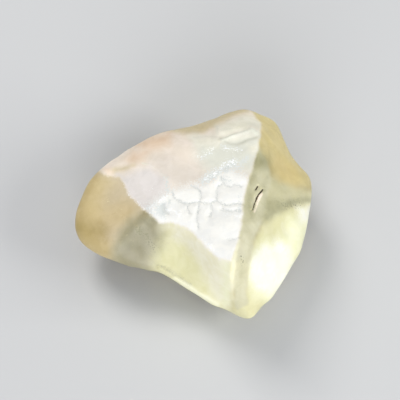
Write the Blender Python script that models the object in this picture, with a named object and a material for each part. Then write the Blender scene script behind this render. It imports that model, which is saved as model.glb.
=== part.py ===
"""Libyan desert glass: one wind-polished, pale yellow natural glass nugget lying on its back.

The stone is star shaped about a heart point. Its skin is where a smooth blend of its bounds
meets zero: the outline wall, the facetted face, cuts across the back, the bowed underside and
the floor. The face frame is tilted 60 degrees up from the floor: x right, y up the slope,
z outward, with x and y laid out as an eye 280 mm away sees them.
Lengths are millimetres until the mesh is written in metres.
"""
import math

import bmesh
import bpy
import numpy as np
from mathutils import Vector
from mathutils.geometry import delaunay_2d_cdt

MM = 0.001

# Driving dimensions
FACE_TILT = 60.0
FACE_CENTRE = np.array([0.0, 0.0, 13.2])
HEART = np.array([1.0, 1.0, 10.5])
TAPER = 1.0 / 280.0
LIMB_HEIGHT = -5.5
LIMB_LEAN = -0.28
FRONT_SWELL = 60.0
BACK_SWELL = 24.0
UNDER_CENTRE = (2.2, 3.4)
UNDER_BOW = 140.0
UNDER_DROP = 0.5
EDGE_ROUNDING = 1.6
UNDER_ROUNDING = 3.0
FLOOR_ROUNDING = 0.6
FLAT_SPOT_LIFT = 0.00002
CRISP_EDGE = 0.35
SOFT_EDGE = 0.9
RIDGE_REACH = 1.3
WAVE_HEIGHT = 0.07

# Outline wall: finest waves of the outline at its widest line and far from it, and how far
# from that line the fine waves last.
FINE_HARMONICS = 42.0
PLAIN_HARMONICS = 5.0
DETAIL_REACH = 4.0
CURVE_STEPS = 12
TURN_STEPS = 721

# Sampling
GRID_SPAN = 27.0
GRID_POINTS = 433
SKIRT_WIDTH = 4.0
SKIRT_DROP = 3.0
SEARCH_REACH = 30.0
SEARCH_STEPS = 30
HALVINGS = 18
PATCHES_PER_SIDE = 64
TRIANGLES = 8800

# Glass
GLASS_COLOUR = (0.78, 0.72, 0.42, 1.0)
GLASS_ROUGHNESS = 0.35
GLASS_IOR = 1.46
GLASS_TRANSMISSION = 0.85

# Outline of the stone square on to the face frame: x, y and how far the face edge
# stands in front of the widest line of the wall.
RIM = [
    (9.9, 19.1, 2.6), (12.3, 18.0, 2.6), (14.7, 17.0, 2.4), (16.3, 14.2, 2.6),
    (17.5, 11.2, 2.6), (19.5, 8.4, 2.4), (21.2, 6.7, 2.2), (21.5, 2.9, 2.6),
    (20.0, -5.3, 2.6), (18.3, -8.9, 2.6), (14.4, -15.2, 2.8), (12.9, -16.4, 3.2),
    (11.1, -19.1, 3.8), (9.8, -19.5, 3.6), (5.5, -17.1, 2.6), (3.5, -16.5, 2.6),
    (-1.6, -13.2, 2.8), (-6.1, -10.5, 2.6), (-8.2, -10.2, 2.6), (-14.8, -8.4, 3.2),
    (-19.7, -5.7, 2.6), (-21.4, -3.0, 2.4), (-21.5, -1.1, 2.2), (-21.2, 0.8, 2.1),
    (-19.8, 4.3, 2.0), (-17.2, 7.8, 1.8), (-11.1, 12.1, 2.2), (-6.5, 14.5, 2.8),
    (1.3, 16.3, 3.6), (7.3, 18.7, 3.0),
]

# Cuts across the hidden back: heading, slope and distance from the origin.
BACK_CUTS = [
    (150.0, 112.0, 19.4),
    (205.0, 122.0, 13.9),
    (245.0, 124.0, 13.3),
    (112.0, 128.0, 14.2),
    (178.0, 146.0, 9.0),
    (62.0, 140.0, 9.1),
]

# Border of the frosted flat face, and of the cracked crust on it.
FROST = [
    (-17.6, 8.4), (-13.6, 11.4), (-8.0, 14.4), (-3.0, 15.6), (5.0, 18.0), (9.8, 19.6),
    (12.3, 16.6), (12.0, 12.0), (11.1, 9.7), (10.6, 7.2), (9.8, 4.7), (9.2, 1.8),
    (9.0, -2.0), (8.3, -4.7), (7.4, -6.9), (7.0, -8.6), (4.8, -8.2), (2.3, -6.0),
    (0.2, -3.3), (-2.6, -1.8), (-6.0, -1.5), (-7.9, -0.4), (-9.5, 0.9), (-10.6, 2.2),
    (-11.8, 3.8), (-12.5, 5.6), (-13.4, 6.7), (-15.4, 6.8),
]
CRUST = [
    (-7.8, 1.6), (-6.0, 3.4), (-3.6, 4.4), (-2.0, 5.1), (-0.2, 5.5), (1.6, 5.4), (3.4, 5.8),
    (4.4, 7.2), (6.4, 8.4), (8.2, 7.6), (10.3, 6.8), (9.8, 4.7), (9.2, 1.8), (9.0, -2.0),
    (8.3, -4.7), (7.4, -6.9), (7.0, -8.6), (4.8, -8.2), (2.3, -6.0), (0.2, -3.3),
    (-2.6, -1.8), (-6.0, -1.5), (-7.9, -0.4),
]

# Cracks between the rounded lumps of the crust.
CRACKS = [
    [(-0.3, 5.3), (0.4, 4.95), (1.05, 4.5), (1.4, 3.9), (1.45, 3.0), (1.15, 2.3)],
    [(-3.75, 4.2), (-3.4, 3.3), (-2.8, 2.65), (-2.0, 2.1), (-0.8, 1.9), (0.15, 2.0),
     (1.15, 2.3)],
    [(4.45, 4.9), (4.3, 3.5), (4.3, 2.3)],
    [(1.15, 2.3), (2.1, 1.9), (3.2, 1.95), (4.1, 2.3), (4.9, 2.0), (5.4, 1.75),
     (6.3, 1.75), (8.1, 2.0), (8.9, 1.85)],
    [(-0.9, 1.85), (-0.9, 0.8), (-0.5, 0.2)],
    [(0.95, 2.1), (1.05, 1.2), (0.8, 0.2), (0.85, -1.1), (1.1, -2.5)],
    [(5.0, 0.9), (5.95, 0.6), (6.85, 0.4), (7.65, 0.6), (8.7, 0.85)],
    [(6.4, -4.6), (7.6, -4.65), (8.3, -4.2)],
    [(5.2, 6.9), (5.3, 5.9), (5.9, 5.3), (6.8, 5.1), (7.6, 5.4), (8.9, 5.0)],
]
CRACK_WIDTH = 0.30
CRACK_DEPTH = 0.22
LUMP_HEIGHT = 0.16
LUMP_REACH = 0.75

# Flake scars: the line each ends in, its depth and how far up the face it fades out.
CHIPS = [
    ([(4.6, 14.6), (5.3, 14.05), (7.5, 14.5), (9.5, 15.1), (10.6, 15.6), (12.2, 14.9)], 0.55, 1.5),
    ([(5.2, 13.6), (6.6, 12.85), (7.8, 12.65), (9.0, 13.0), (10.2, 13.6), (12.2, 14.1)], 0.28, 1.2),
    ([(0.2, 13.9), (2.8, 14.1), (4.6, 14.0)], 0.16, 0.9),
    ([(-9.3, 9.2), (-7.8, 9.1), (-6.7, 8.4), (-6.0, 7.6), (-4.6, 6.3)], 0.12, 1.0),
]
CHIP_ENDS = 0.6

# Rounded lip along the lower edge.
LIP = [(-6.2, -10.0), (-4.2, -11.1), (-2.3, -12.3), (-0.5, -13.5), (1.3, -14.7), (3.6, -15.9),
       (5.4, -16.5)]
LIP_HEIGHT = 0.30
LIP_WIDTH = 0.45

# Dark slit and its pit beside the sharp ridge.
SLIT = [(12.7, 4.4), (11.9, 3.5), (11.6, 2.8), (11.2, 1.9), (10.85, 0.7)]
SLIT_WIDTH = 0.42
SLIT_DEPTH = 0.50
PIT = [(11.75, 5.0), (11.4, 4.4)]
PIT_WIDTH = 0.36
PIT_DEPTH = 0.45


def flat_height(x, y):
    """Height of the flat frosted face above the face frame."""
    return 5.99 + 0.329 * x - 0.620 * y


def left_height(x, y):
    """Height of the left facet above the face frame."""
    return 8.60 + 0.640 * x - 0.470 * y


def limb_height(y):
    """Height of the widest line of the wall above the face frame."""
    return LIMB_HEIGHT + LIMB_LEAN * y


def on_flat(x, y, lift=0.0):
    """A net point on the flat face, lifted by a little."""
    return (x, y, flat_height(x, y) + lift)


def ridge_line():
    """The sharp ridge down the right of the flat face."""
    return [on_flat(12.0, 12.0), on_flat(11.1, 9.7), on_flat(10.6, 7.2), on_flat(9.8, 4.7),
            on_flat(9.2, 1.8), on_flat(9.0, -2.0), on_flat(8.3, -4.7), on_flat(7.4, -6.9),
            on_flat(7.0, -8.6)]


def frost_border():
    """The lower left border of the flat face."""
    return [on_flat(-13.5, 6.8, -0.7), on_flat(-12.0, 4.4, -0.45), on_flat(-10.4, 1.8, -0.1),
            on_flat(-7.9, -0.4), on_flat(-6.0, -1.5), on_flat(-2.6, -1.8), on_flat(0.2, -3.3),
            on_flat(2.3, -6.0), on_flat(4.8, -8.2), ridge_line()[-1]]


def net_lines():
    """Chains of net points: every chain is a ridge, valley or facet border."""
    rim = [(x, y, limb_height(y) + margin) for x, y, margin in RIM]
    skirt = []
    for x, y, z in rim:
        grow = 1.0 + SKIRT_WIDTH / math.hypot(x, y)
        skirt.append((x * grow, y * grow, z - SKIRT_DROP))
    corner = on_flat(12.1, 16.2, -0.15)
    ridge = ridge_line()
    frost = frost_border()
    knee = (13.3, 0.0, 6.7)
    belly = (10.3, -8.7, 10.6)
    shoulder = (14.4, 4.4, 4.3)
    fold = on_flat(-7.9, 9.1, 0.05)
    brow = on_flat(-4.7, 6.5, 0.1)
    crown = on_flat(-1.0, 11.5, 0.1)
    shelf = on_flat(5.1, 14.5, 0.1)
    cheek = (-16.6, 2.0, left_height(-16.6, 2.0) + 0.3)
    return [
        rim + rim[:1],
        skirt + skirt[:1],
        [rim[0], corner] + ridge + [(6.8, -11.8, 10.6), (7.1, -16.0, 5.2), rim[13]],
        [ridge[0], (13.5, 9.6, 2.3), shoulder, knee, (11.3, -4.7, 9.3), belly,
         (9.7, -12.9, 7.6), (10.0, -15.8, 4.8), rim[12]],
        [knee, (17.3, 1.6, 2.6), rim[7]],
        [shoulder, (16.0, 7.0, 0.6), rim[5]],
        [belly, (14.6, -8.6, 4.4), rim[9]],
        [rim[25]] + frost,
        [frost[3], (-11.5, -2.7, 2.5), (-13.8, -5.6, 1.9), rim[19]],
        [frost[4], (-7.2, -3.5, 2.1), (-7.4, -6.5, 0.9), rim[18]],
        [frost[6], (-1.6, -8.0, 3.1), rim[16]],
        [frost[8], (3.4, -12.0, 6.2), rim[14]],
        [frost[0], on_flat(-9.6, 8.4, -0.2), fold, brow, on_flat(-3.5, 3.2, 0.05), frost[4]],
        [fold, on_flat(-7.6, 12.2, -1.0), rim[26]],
        [brow, crown, shelf, corner],
        [crown, on_flat(-0.5, 14.0, -0.5), rim[28]],
        [shelf, on_flat(6.5, 16.6, -0.4), rim[29]],
        [frost[1], cheek, rim[24]],
        [cheek, (-17.0, -3.0, -0.9), rim[20]],
    ]


def triangulate(lines):
    """Triangles of the control net, with every chain kept as an edge."""
    points = []
    index = {}
    edges = []
    for line in lines:
        ids = []
        for p in line:
            key = (round(p[0], 5), round(p[1], 5))
            if key not in index:
                index[key] = len(points)
                points.append(p)
            ids.append(index[key])
        edges += list(zip(ids, ids[1:]))
    flat = [Vector(p[:2]) for p in points]
    verts, _, faces, origin, _, _ = delaunay_2d_cdt(flat, edges, [], 0, 1e-5)
    heights = [points[o[0]][2] for o in origin]
    corners = np.array([(v[0], v[1], z) for v, z in zip(verts, heights)])
    return [corners[list(f)] for f in faces]


def raster(triangles, x, y):
    """Net height at every grid point, carried outward past the net."""
    height = np.full(x.shape, np.nan)
    for a, b, c in triangles:
        area = (b[0] - a[0]) * (c[1] - a[1]) - (c[0] - a[0]) * (b[1] - a[1])
        if abs(area) < 1e-9:
            continue
        u = ((x - a[0]) * (c[1] - a[1]) - (c[0] - a[0]) * (y - a[1])) / area
        v = ((b[0] - a[0]) * (y - a[1]) - (x - a[0]) * (b[1] - a[1])) / area
        inside = (u >= -1e-9) & (v >= -1e-9) & (u + v <= 1.0 + 1e-9)
        height[inside] = (a[2] + (b[2] - a[2]) * u + (c[2] - a[2]) * v)[inside]
    while np.isnan(height).any():
        total = np.zeros_like(height)
        count = np.zeros_like(height)
        for shift in ((1, 0), (-1, 0), (0, 1), (0, -1)):
            near = np.roll(height, shift, (0, 1))
            known = ~np.isnan(near)
            total[known] += near[known]
            count[known] += 1
        empty = np.isnan(height) & (count > 0)
        height[empty] = total[empty] / count[empty]
    return height


def blur(field, width, step):
    """Gaussian blur of a grid field by a width in millimetres."""
    sigma = width / step
    reach = int(3 * sigma) + 1
    kernel = np.exp(-0.5 * (np.arange(-reach, reach + 1) / sigma) ** 2)
    kernel /= kernel.sum()
    padded = np.pad(field, reach, mode="edge")
    across = np.apply_along_axis(np.convolve, 0, padded, kernel, "valid")
    return np.apply_along_axis(np.convolve, 1, across, kernel, "valid")


def smoothstep(value, low, high):
    """Smooth ramp from zero at low to one at high."""
    t = np.clip((value - low) / (high - low), 0.0, 1.0)
    return t * t * (3.0 - 2.0 * t)


def chain_distance(x, y, chain):
    """Distance from grid points to a chain of straight segments."""
    nearest = np.full(x.shape, 1e9)
    for (ax, ay), (bx, by) in zip(chain, chain[1:]):
        along = ((x - ax) * (bx - ax) + (y - ay) * (by - ay)) / ((bx - ax) ** 2 + (by - ay) ** 2)
        along = np.clip(along, 0.0, 1.0)
        nearest = np.minimum(nearest, np.hypot(x - ax - along * (bx - ax), y - ay - along * (by - ay)))
    return nearest


def ring_distance(x, y, ring):
    """Distance to a ring's edge, positive within it and negative outside."""
    closed = ring + ring[:1]
    within = np.zeros(x.shape, bool)
    for (ax, ay), (bx, by) in zip(closed, closed[1:]):
        if ay == by:
            continue
        crosses = (ay > y) != (by > y)
        within ^= crosses & (x < ax + (y - ay) * (bx - ax) / (by - ay))
    off = chain_distance(x, y, closed)
    return np.where(within, off, -off)


def crust_height(x, y):
    """Rounded lumps of the crust with the cracks between them."""
    nearest = np.full(x.shape, 1e9)
    for crack in CRACKS:
        nearest = np.minimum(nearest, chain_distance(x, y, crack))
    lumps = LUMP_HEIGHT * (1.0 - np.exp(-(nearest / LUMP_REACH) ** 2))
    cuts = CRACK_DEPTH * np.exp(-(nearest / CRACK_WIDTH) ** 2)
    return (lumps - cuts) * smoothstep(ring_distance(x, y, CRUST), -0.25, 0.35)


def chip_depth(x, y):
    """Depth taken off the flat face by the flake scars."""
    depth = np.zeros(x.shape)
    for edge, cut, width in CHIPS:
        xs = [p[0] for p in edge]
        ys = [p[1] for p in edge]
        above = y - np.interp(x, xs, ys)
        ends = (smoothstep(x, xs[0] - CHIP_ENDS, xs[0] + CHIP_ENDS)
                * smoothstep(-x, -xs[-1] - CHIP_ENDS, -xs[-1] + CHIP_ENDS))
        dip = smoothstep(above, -0.12, 0.18) * np.exp(-np.maximum(above, 0.0) / width)
        depth = depth + cut * dip * ends
    return depth * smoothstep(ring_distance(x, y, FROST), -0.2, 0.4)


def relief(x, y):
    """Small height changes of the face: crust, flake scars, lip, slit and pit."""
    bead = LIP_HEIGHT * np.exp(-(chain_distance(x, y, LIP) / LIP_WIDTH) ** 2)
    slit = SLIT_DEPTH * (1.0 - smoothstep(chain_distance(x, y, SLIT), 0.0, SLIT_WIDTH))
    pit = PIT_DEPTH * (1.0 - smoothstep(chain_distance(x, y, PIT), 0.0, PIT_WIDTH))
    return crust_height(x, y) - chip_depth(x, y) + bead - np.maximum(slit, pit)


class Face:
    """The facetted face as a height field on a grid."""

    def __init__(self):
        axis = np.linspace(-GRID_SPAN, GRID_SPAN, GRID_POINTS)
        self.step = axis[1] - axis[0]
        x, y = np.meshgrid(axis, axis, indexing="ij")
        raw = raster(triangulate(net_lines()), x, y)
        ridge = [(12.1, 16.2)] + [p[:2] for p in ridge_line()] + [(6.8, -11.8)]
        sharp = np.exp(-(chain_distance(x, y, ridge) / RIDGE_REACH) ** 2)
        soft = blur(raw, SOFT_EDGE, self.step)
        broad = blur(raw, CRISP_EDGE, self.step) * sharp + soft * (1.0 - sharp)
        slope_x, slope_y = np.gradient(broad, self.step)
        self.height = broad + relief(x, y)
        self.stretch = np.sqrt(1.0 + slope_x ** 2 + slope_y ** 2)

    def sample(self, field, x, y):
        """Bilinear value of a grid field."""
        u = np.clip((x + GRID_SPAN) / self.step, 0, GRID_POINTS - 1.001)
        v = np.clip((y + GRID_SPAN) / self.step, 0, GRID_POINTS - 1.001)
        i = u.astype(int)
        j = v.astype(int)
        u = u - i
        v = v - j
        low = field[i, j] * (1 - v) + field[i, j + 1] * v
        high = field[i + 1, j] * (1 - v) + field[i + 1, j + 1] * v
        return low * (1 - u) + high * u

    def bound(self, x, y, z):
        """Signed distance in front of the face."""
        return (z - self.sample(self.height, x, y)) / self.sample(self.stretch, x, y)


class Wall:
    """The rounded wall that carries the outline."""

    def __init__(self):
        ring = np.array([p[:2] for p in RIM])
        curve = []
        steps = (np.arange(CURVE_STEPS) / CURVE_STEPS)[:, None]
        for i in range(len(ring)):
            a, b, c, d = (ring[(i + k) % len(ring)] for k in (-1, 0, 1, 2))
            curve.append(0.5 * (2 * b + (c - a) * steps + (2 * a - 5 * b + 4 * c - d) * steps ** 2
                                + (3 * b - a - 3 * c + d) * steps ** 3))
        path = np.concatenate(curve)
        angle = np.arctan2(path[:, 1], path[:, 0])
        order = np.argsort(angle)
        angle = angle[order]
        radius = np.hypot(path[:, 0], path[:, 1])[order]
        turn = 2.0 * math.pi
        turns = np.linspace(-math.pi, math.pi, TURN_STEPS)[:-1]
        around = np.concatenate([angle - turn, angle, angle + turn])
        even = np.interp(turns, around, np.tile(radius, 3))
        self.turns = np.concatenate([turns - turn, turns, turns + turn])
        self.fine = np.tile(self.eased(even, FINE_HARMONICS), 3)
        self.plain = np.tile(self.eased(even, PLAIN_HARMONICS), 3)

    def eased(self, radius, limit):
        """Radius with its harmonics above the limit faded out."""
        order = np.abs(np.fft.fftfreq(len(radius), 1.0 / len(radius)))
        return np.real(np.fft.ifft(np.fft.fft(radius) * np.exp(-(order / limit) ** 2)))

    def bound(self, x, y, z):
        """Signed distance outside the wall."""
        angle = np.arctan2(y, x)
        rise = z - limb_height(y)
        detail = np.exp(-(rise / DETAIL_REACH) ** 2)
        radius = np.interp(angle, self.turns, self.fine) * detail
        radius = radius + np.interp(angle, self.turns, self.plain) * (1.0 - detail)
        swell = rise ** 2 / np.where(rise > 0.0, FRONT_SWELL, BACK_SWELL)
        return np.hypot(x, y) - radius + swell


def blend(a, b, width):
    """Smooth maximum of two bounds."""
    near = np.maximum(width - np.abs(a - b), 0.0) / width
    return np.maximum(a, b) + near * near * width / 4.0


def heading(azimuth, slope):
    """Unit vector leaning from straight up by a slope toward an azimuth from the front."""
    a = math.radians(azimuth)
    s = math.radians(slope)
    return np.array([math.sin(a) * math.sin(s), -math.cos(a) * math.sin(s), math.cos(s)])


def waves(p):
    """Gentle dimpling of the whole skin."""
    turn = 2.0 * math.pi
    x, y, z = p[:, 0], p[:, 1], p[:, 2]
    first = np.sin(turn * (x / 9.1 + y / 14.3) + 0.7) * np.sin(turn * (y / 8.3 - z / 11.0) + 2.1)
    second = np.sin(turn * (x / 5.7 - z / 7.9) + 4.0) * np.sin(turn * (y / 6.1 + x / 17.0) + 1.3)
    return WAVE_HEIGHT * (first + 0.5 * second)


class Stone:
    """The whole nugget as one signed bound."""

    def __init__(self):
        tilt = math.radians(FACE_TILT)
        self.right = np.array([1.0, 0.0, 0.0])
        self.up = np.array([0.0, math.sin(tilt), math.cos(tilt)])
        self.out = np.array([0.0, -math.cos(tilt), math.sin(tilt)])
        self.face = Face()
        self.wall = Wall()

    def bound(self, p):
        """Signed bound: negative inside the glass."""
        q = p - FACE_CENTRE
        z = q @ self.out
        grow = 1.0 / (1.0 - z * TAPER)
        x = (q @ self.right) * grow
        y = (q @ self.up) * grow
        skin = blend(self.wall.bound(x, y, z), self.face.bound(x, y, z), EDGE_ROUNDING)
        for azimuth, slope, reach in BACK_CUTS:
            skin = blend(skin, p @ heading(azimuth, slope) - reach, EDGE_ROUNDING)
        away = (p[:, 0] - UNDER_CENTRE[0]) ** 2 + (p[:, 1] - UNDER_CENTRE[1]) ** 2
        skin = blend(skin, away / UNDER_BOW - UNDER_DROP - p[:, 2], UNDER_ROUNDING)
        skin = skin + waves(p)
        return blend(skin, -p[:, 2], FLOOR_ROUNDING)

    def skin(self, directions):
        """Points of the skin along directions from the heart."""
        low = np.zeros(len(directions))
        high = np.full(len(directions), SEARCH_REACH)
        found = np.zeros(len(directions), bool)
        before = 0.0
        for reach in np.linspace(1.0, SEARCH_REACH, SEARCH_STEPS):
            probe = np.where(~found)[0]
            outside = self.bound(HEART + directions[probe] * reach) > 0.0
            hit = probe[outside]
            low[hit] = before
            high[hit] = reach
            found[hit] = True
            before = reach
        for _ in range(HALVINGS):
            middle = (low + high) / 2.0
            outside = self.bound(HEART + directions * middle[:, None]) > 0.0
            high = np.where(outside, middle, high)
            low = np.where(outside, low, middle)
        return HEART + directions * ((low + high) / 2.0)[:, None]


def clear_scene():
    """Take every object out of the scene."""
    for thing in list(bpy.data.objects):
        bpy.data.objects.remove(thing, do_unlink=True)


def blown_cube():
    """A cube cut into an even grid on every side, before it is blown out to the skin."""
    mesh = bmesh.new()
    bmesh.ops.create_cube(mesh, size=2.0)
    bmesh.ops.subdivide_edges(mesh, edges=mesh.edges[:], cuts=PATCHES_PER_SIDE - 1, use_grid_fill=True)
    return mesh


def glass_material():
    """Pale yellow frosted glass."""
    material = bpy.data.materials.new("desert_glass")
    material.use_nodes = True
    shader = material.node_tree.nodes["Principled BSDF"]
    shader.inputs["Base Color"].default_value = GLASS_COLOUR
    shader.inputs["Roughness"].default_value = GLASS_ROUGHNESS
    shader.inputs["IOR"].default_value = GLASS_IOR
    shader.inputs["Transmission Weight"].default_value = GLASS_TRANSMISSION
    return material


def main():
    """Build the nugget."""
    clear_scene()
    cube = blown_cube()
    corners = np.array([v.co[:] for v in cube.verts])
    spread = np.tan(corners * math.pi / 4.0)
    spread /= np.linalg.norm(spread, axis=1)[:, None]
    points = Stone().skin(spread)
    points[:, 2] -= points[:, 2].min()
    for vert, point in zip(cube.verts, points):
        vert.co = Vector(point * MM)
    bmesh.ops.triangulate(cube, faces=cube.faces[:], quad_method="SHORT_EDGE")
    bmesh.ops.recalc_face_normals(cube, faces=cube.faces[:])
    dense = bpy.data.meshes.new("desert_glass_dense")
    cube.to_mesh(dense)
    cube.free()
    scaffold = bpy.data.objects.new("scaffold", dense)
    bpy.context.collection.objects.link(scaffold)
    thin = scaffold.modifiers.new("thin", "DECIMATE")
    thin.ratio = TRIANGLES / len(dense.polygons)
    depsgraph = bpy.context.evaluated_depsgraph_get()
    final = bpy.data.meshes.new_from_object(scaffold.evaluated_get(depsgraph))
    final.name = "desert_glass"
    final.materials.clear()
    final.materials.append(glass_material())
    skin = np.array([v.co[:] for v in final.vertices])
    middle = (skin.min(axis=0) + skin.max(axis=0)) / 2.0
    skin[:, :2] -= middle[:2]
    skin[skin[:, 2] < FLAT_SPOT_LIFT, 2] = 0.0
    for vert, point in zip(final.vertices, skin):
        vert.co = Vector(point)
    for face in final.polygons:
        face.use_smooth = True
    bpy.data.objects.remove(scaffold, do_unlink=True)
    stone = bpy.data.objects.new("desert_glass", final)
    bpy.context.collection.objects.link(stone)


main()
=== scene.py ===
"""Looks of a Libyan desert glass nugget: a wind-polished, pale yellow natural silica glass.

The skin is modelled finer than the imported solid, from the same named form: an outline
wall, a faceted face laid out as a height field, worn cuts across the back and a bowed
underside. Fine relief is added on top of it: a cracked frost crust, chipped ledges, sugar
grains, pits, a lip along the lower edge and a dark slit. Lengths are millimetres until the
mesh is written in metres.
"""

import logging
import math
from dataclasses import dataclass, field
from enum import Enum
from typing import Any

import bmesh
import bpy
import numpy as np
from mathutils import Matrix, Vector
from mathutils.geometry import delaunay_2d_cdt


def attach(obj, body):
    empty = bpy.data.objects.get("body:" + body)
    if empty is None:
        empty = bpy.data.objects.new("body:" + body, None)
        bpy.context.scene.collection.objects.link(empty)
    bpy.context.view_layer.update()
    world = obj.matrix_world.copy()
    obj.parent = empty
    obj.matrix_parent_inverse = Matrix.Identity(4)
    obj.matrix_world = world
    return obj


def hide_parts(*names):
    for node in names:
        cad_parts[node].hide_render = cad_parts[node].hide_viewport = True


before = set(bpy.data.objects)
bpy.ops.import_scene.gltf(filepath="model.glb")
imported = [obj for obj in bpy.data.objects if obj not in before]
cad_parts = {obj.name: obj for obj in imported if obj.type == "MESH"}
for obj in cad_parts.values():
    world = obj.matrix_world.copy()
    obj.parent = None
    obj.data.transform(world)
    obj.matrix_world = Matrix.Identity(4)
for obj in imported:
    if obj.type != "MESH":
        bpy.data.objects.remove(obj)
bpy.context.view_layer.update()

LOG = logging.getLogger("desert_glass")
MM = 0.001

Array = np.ndarray
Point2 = tuple[float, float]
Point3 = tuple[float, float, float]
Chain = tuple[Point2, ...]

FULL_TURN = 2.0 * math.pi
# Further away than anything on the stone, and too small a difference to matter.
FAR = 1e9
HAIR = 1e-9


def smoothstep(value: Array, low: float, high: float) -> Array:
    """Smooth ramp from zero at low to one at high."""
    t = np.clip((value - low) / (high - low), 0.0, 1.0)
    return t * t * (3.0 - 2.0 * t)


def blend(a: Array, b: Array, width: float) -> Array:
    """Smooth maximum of two bounds over a width in millimetres."""
    near = np.maximum(width - np.abs(a - b), 0.0) / width
    return np.maximum(a, b) + near * near * width / 4.0


def chain_distance(x: Array, y: Array, chain: Chain) -> Array:
    """Distance from points to a chain of straight segments.

    Args:
        x: Face-frame x of the points.
        y: Face-frame y of the points.
        chain: Corners of the chain, in order.

    Returns:
        The distance of each point to the nearest segment.
    """
    nearest = np.full(np.shape(x), FAR)
    for (ax, ay), (bx, by) in zip(chain, chain[1:]):
        length = (bx - ax) ** 2 + (by - ay) ** 2
        along = np.clip(((x - ax) * (bx - ax) + (y - ay) * (by - ay)) / length, 0.0, 1.0)
        off = np.hypot(x - ax - along * (bx - ax), y - ay - along * (by - ay))
        nearest = np.minimum(nearest, off)
    return nearest


def ring_distance(x: Array, y: Array, ring: Chain) -> Array:
    """Distance to a ring's edge.

    Args:
        x: Face-frame x of the points.
        y: Face-frame y of the points.
        ring: Corners of the ring, in order.

    Returns:
        The distance of each point, positive within the ring and negative outside.
    """
    closed = ring + ring[:1]
    within = np.zeros(np.shape(x), bool)
    for (ax, ay), (bx, by) in zip(closed, closed[1:]):
        if ay == by:
            continue
        crosses = (ay > y) != (by > y)
        within ^= crosses & (x < ax + (y - ay) * (bx - ax) / (by - ay))
    off = chain_distance(x, y, closed)
    return np.where(within, off, -off)


class Seed(Enum):
    """Random draws of the stone. The value starts the draw."""

    SLIT = 3
    BORDERS = 5
    WRAP = 9
    SUGAR = 11
    CRACKS = 23
    DAPPLE = 37


@dataclass
class Grain:
    """Repeatable smooth noise on a lattice of random values.

    Attributes:
        seed: The random draw that fills the lattice.
        cells: Lattice points per side before it repeats.
        slide: How far each layer is slid from the one before, in x and y.
    """

    seed: Seed
    cells: int = 64
    slide: Point2 = (7.3, -3.1)

    def __post_init__(self) -> None:
        """Draws the lattice."""
        draw = np.random.default_rng(self.seed.value)
        self.values = draw.uniform(-1.0, 1.0, (self.cells, self.cells))

    def at(self, x: Array, y: Array, size: float) -> Array:
        """Noise between -1 and 1 with lumps of a size in millimetres.

        Args:
            x: First coordinate of the points.
            y: Second coordinate of the points.
            size: Distance between lattice points.

        Returns:
            The noise at each point.
        """
        u, v = x / size, y / size
        i, j = np.floor(u).astype(int), np.floor(v).astype(int)
        fu, fv = smoothstep(u - i, 0.0, 1.0), smoothstep(v - j, 0.0, 1.0)
        corners = [self.values[(i + a) % self.cells, (j + b) % self.cells]
                   for a in (0, 1) for b in (0, 1)]
        low = corners[0] * (1 - fv) + corners[1] * fv
        high = corners[2] * (1 - fv) + corners[3] * fv
        return low * (1 - fu) + high * fu

    def layered(self, x: Array, y: Array, size: float, layers: int = 3) -> Array:
        """Sum of noise layers, each half the size and height of the one before.

        Args:
            x: First coordinate of the points.
            y: Second coordinate of the points.
            size: Distance between lattice points in the first layer.
            layers: How many layers there are.

        Returns:
            The sum at each point.
        """
        total = np.zeros(np.shape(x))
        for k in range(layers):
            slid_x = x + self.slide[0] * k
            slid_y = y + self.slide[1] * k
            total += self.at(slid_x, slid_y, size / 2 ** k) / 2 ** k
        return total


class Zone(Enum):
    """Skin zones of finish and of painted light and shade. The value names the mesh attribute."""

    HONEY = "honey"  # ground of the rounded left facet
    TAN = "tan"  # outer half of the left facet
    RUST = "rust"  # warm streak across the left facet
    UMBER = "umber"  # dark lower end of the left facet
    SHADE = "shade"  # painted shade: grey-green shade below the frost
    DEEP_SHADE = "murk"  # painted shade: darkest heart of the shade below the frost
    SCOOP = "scoop"  # ground of the scooped facet
    CREAM = "cream"  # pale bloom under the frost's border
    LIP_HIGHLIGHT = "lip"  # painted highlight along the bead of the lower lip
    GOLD = "gold"  # ground of the upper right facet
    AMBER = "amber"  # warmest part of the upper right facet
    GLOW = "glow"  # pale ground of the lower right facet, partly painted glow of light shining through
    TIP = "tip"  # pointed lower end
    HAZE = "haze"  # pale ground between the two right facets
    SHADED_LINE = "dusk"  # painted shade: dark line along the edge across the right, and above the lip
    FLASH = "flash"  # painted glow and highlight: bright parts of the clear facets
    GLEAM = "gleam"  # painted glow: white cores of the bright parts
    SPECK = "speck"  # dark specks
    FLECK = "fleck"  # pale flecks in the clear facets
    STRIP = "strip"  # narrow strip beside the ridge
    OLIVE = "olive"  # green shade in the strip and beside it
    BLUSH = "blush"  # ground of the frosted face
    PEACH = "peach"  # warm stain at its upper left
    SAND = "sand"  # greyish middle of the frosted face
    BEVEL = "bevel"  # clearer slope along the upper edge
    PLATE = "plate"  # smooth plate at the left of the frost
    CREST_HIGHLIGHT = "fold"  # painted highlight on the crests of the ledges
    CORNER_HIGHLIGHT = "pearl"  # painted highlight on the bump at the left corner
    CREASE = "crease"  # shaded feet of the ledges
    UPPER = "upper"  # grey-green upper right of the frost
    CHIP = "chip"  # pale flake scars
    CRUST = "crust"  # cracked white crust
    SUGAR = "sugar"  # white crystals of the frost, with their glints painted in as highlight
    RIM_HIGHLIGHT = "rim"  # painted highlight on the rim beside the slit
    HOLLOW_SHADE = "hollow"  # painted shade: blue-grey hollows between the crystals and in dips of the crust
    RIDGE_HIGHLIGHT = "ridge"  # painted highlight along the lower ridge
    GROOVE = "groove"  # cracks of the crust
    SLIT = "slit"  # floor of the slit and the pit


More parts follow.
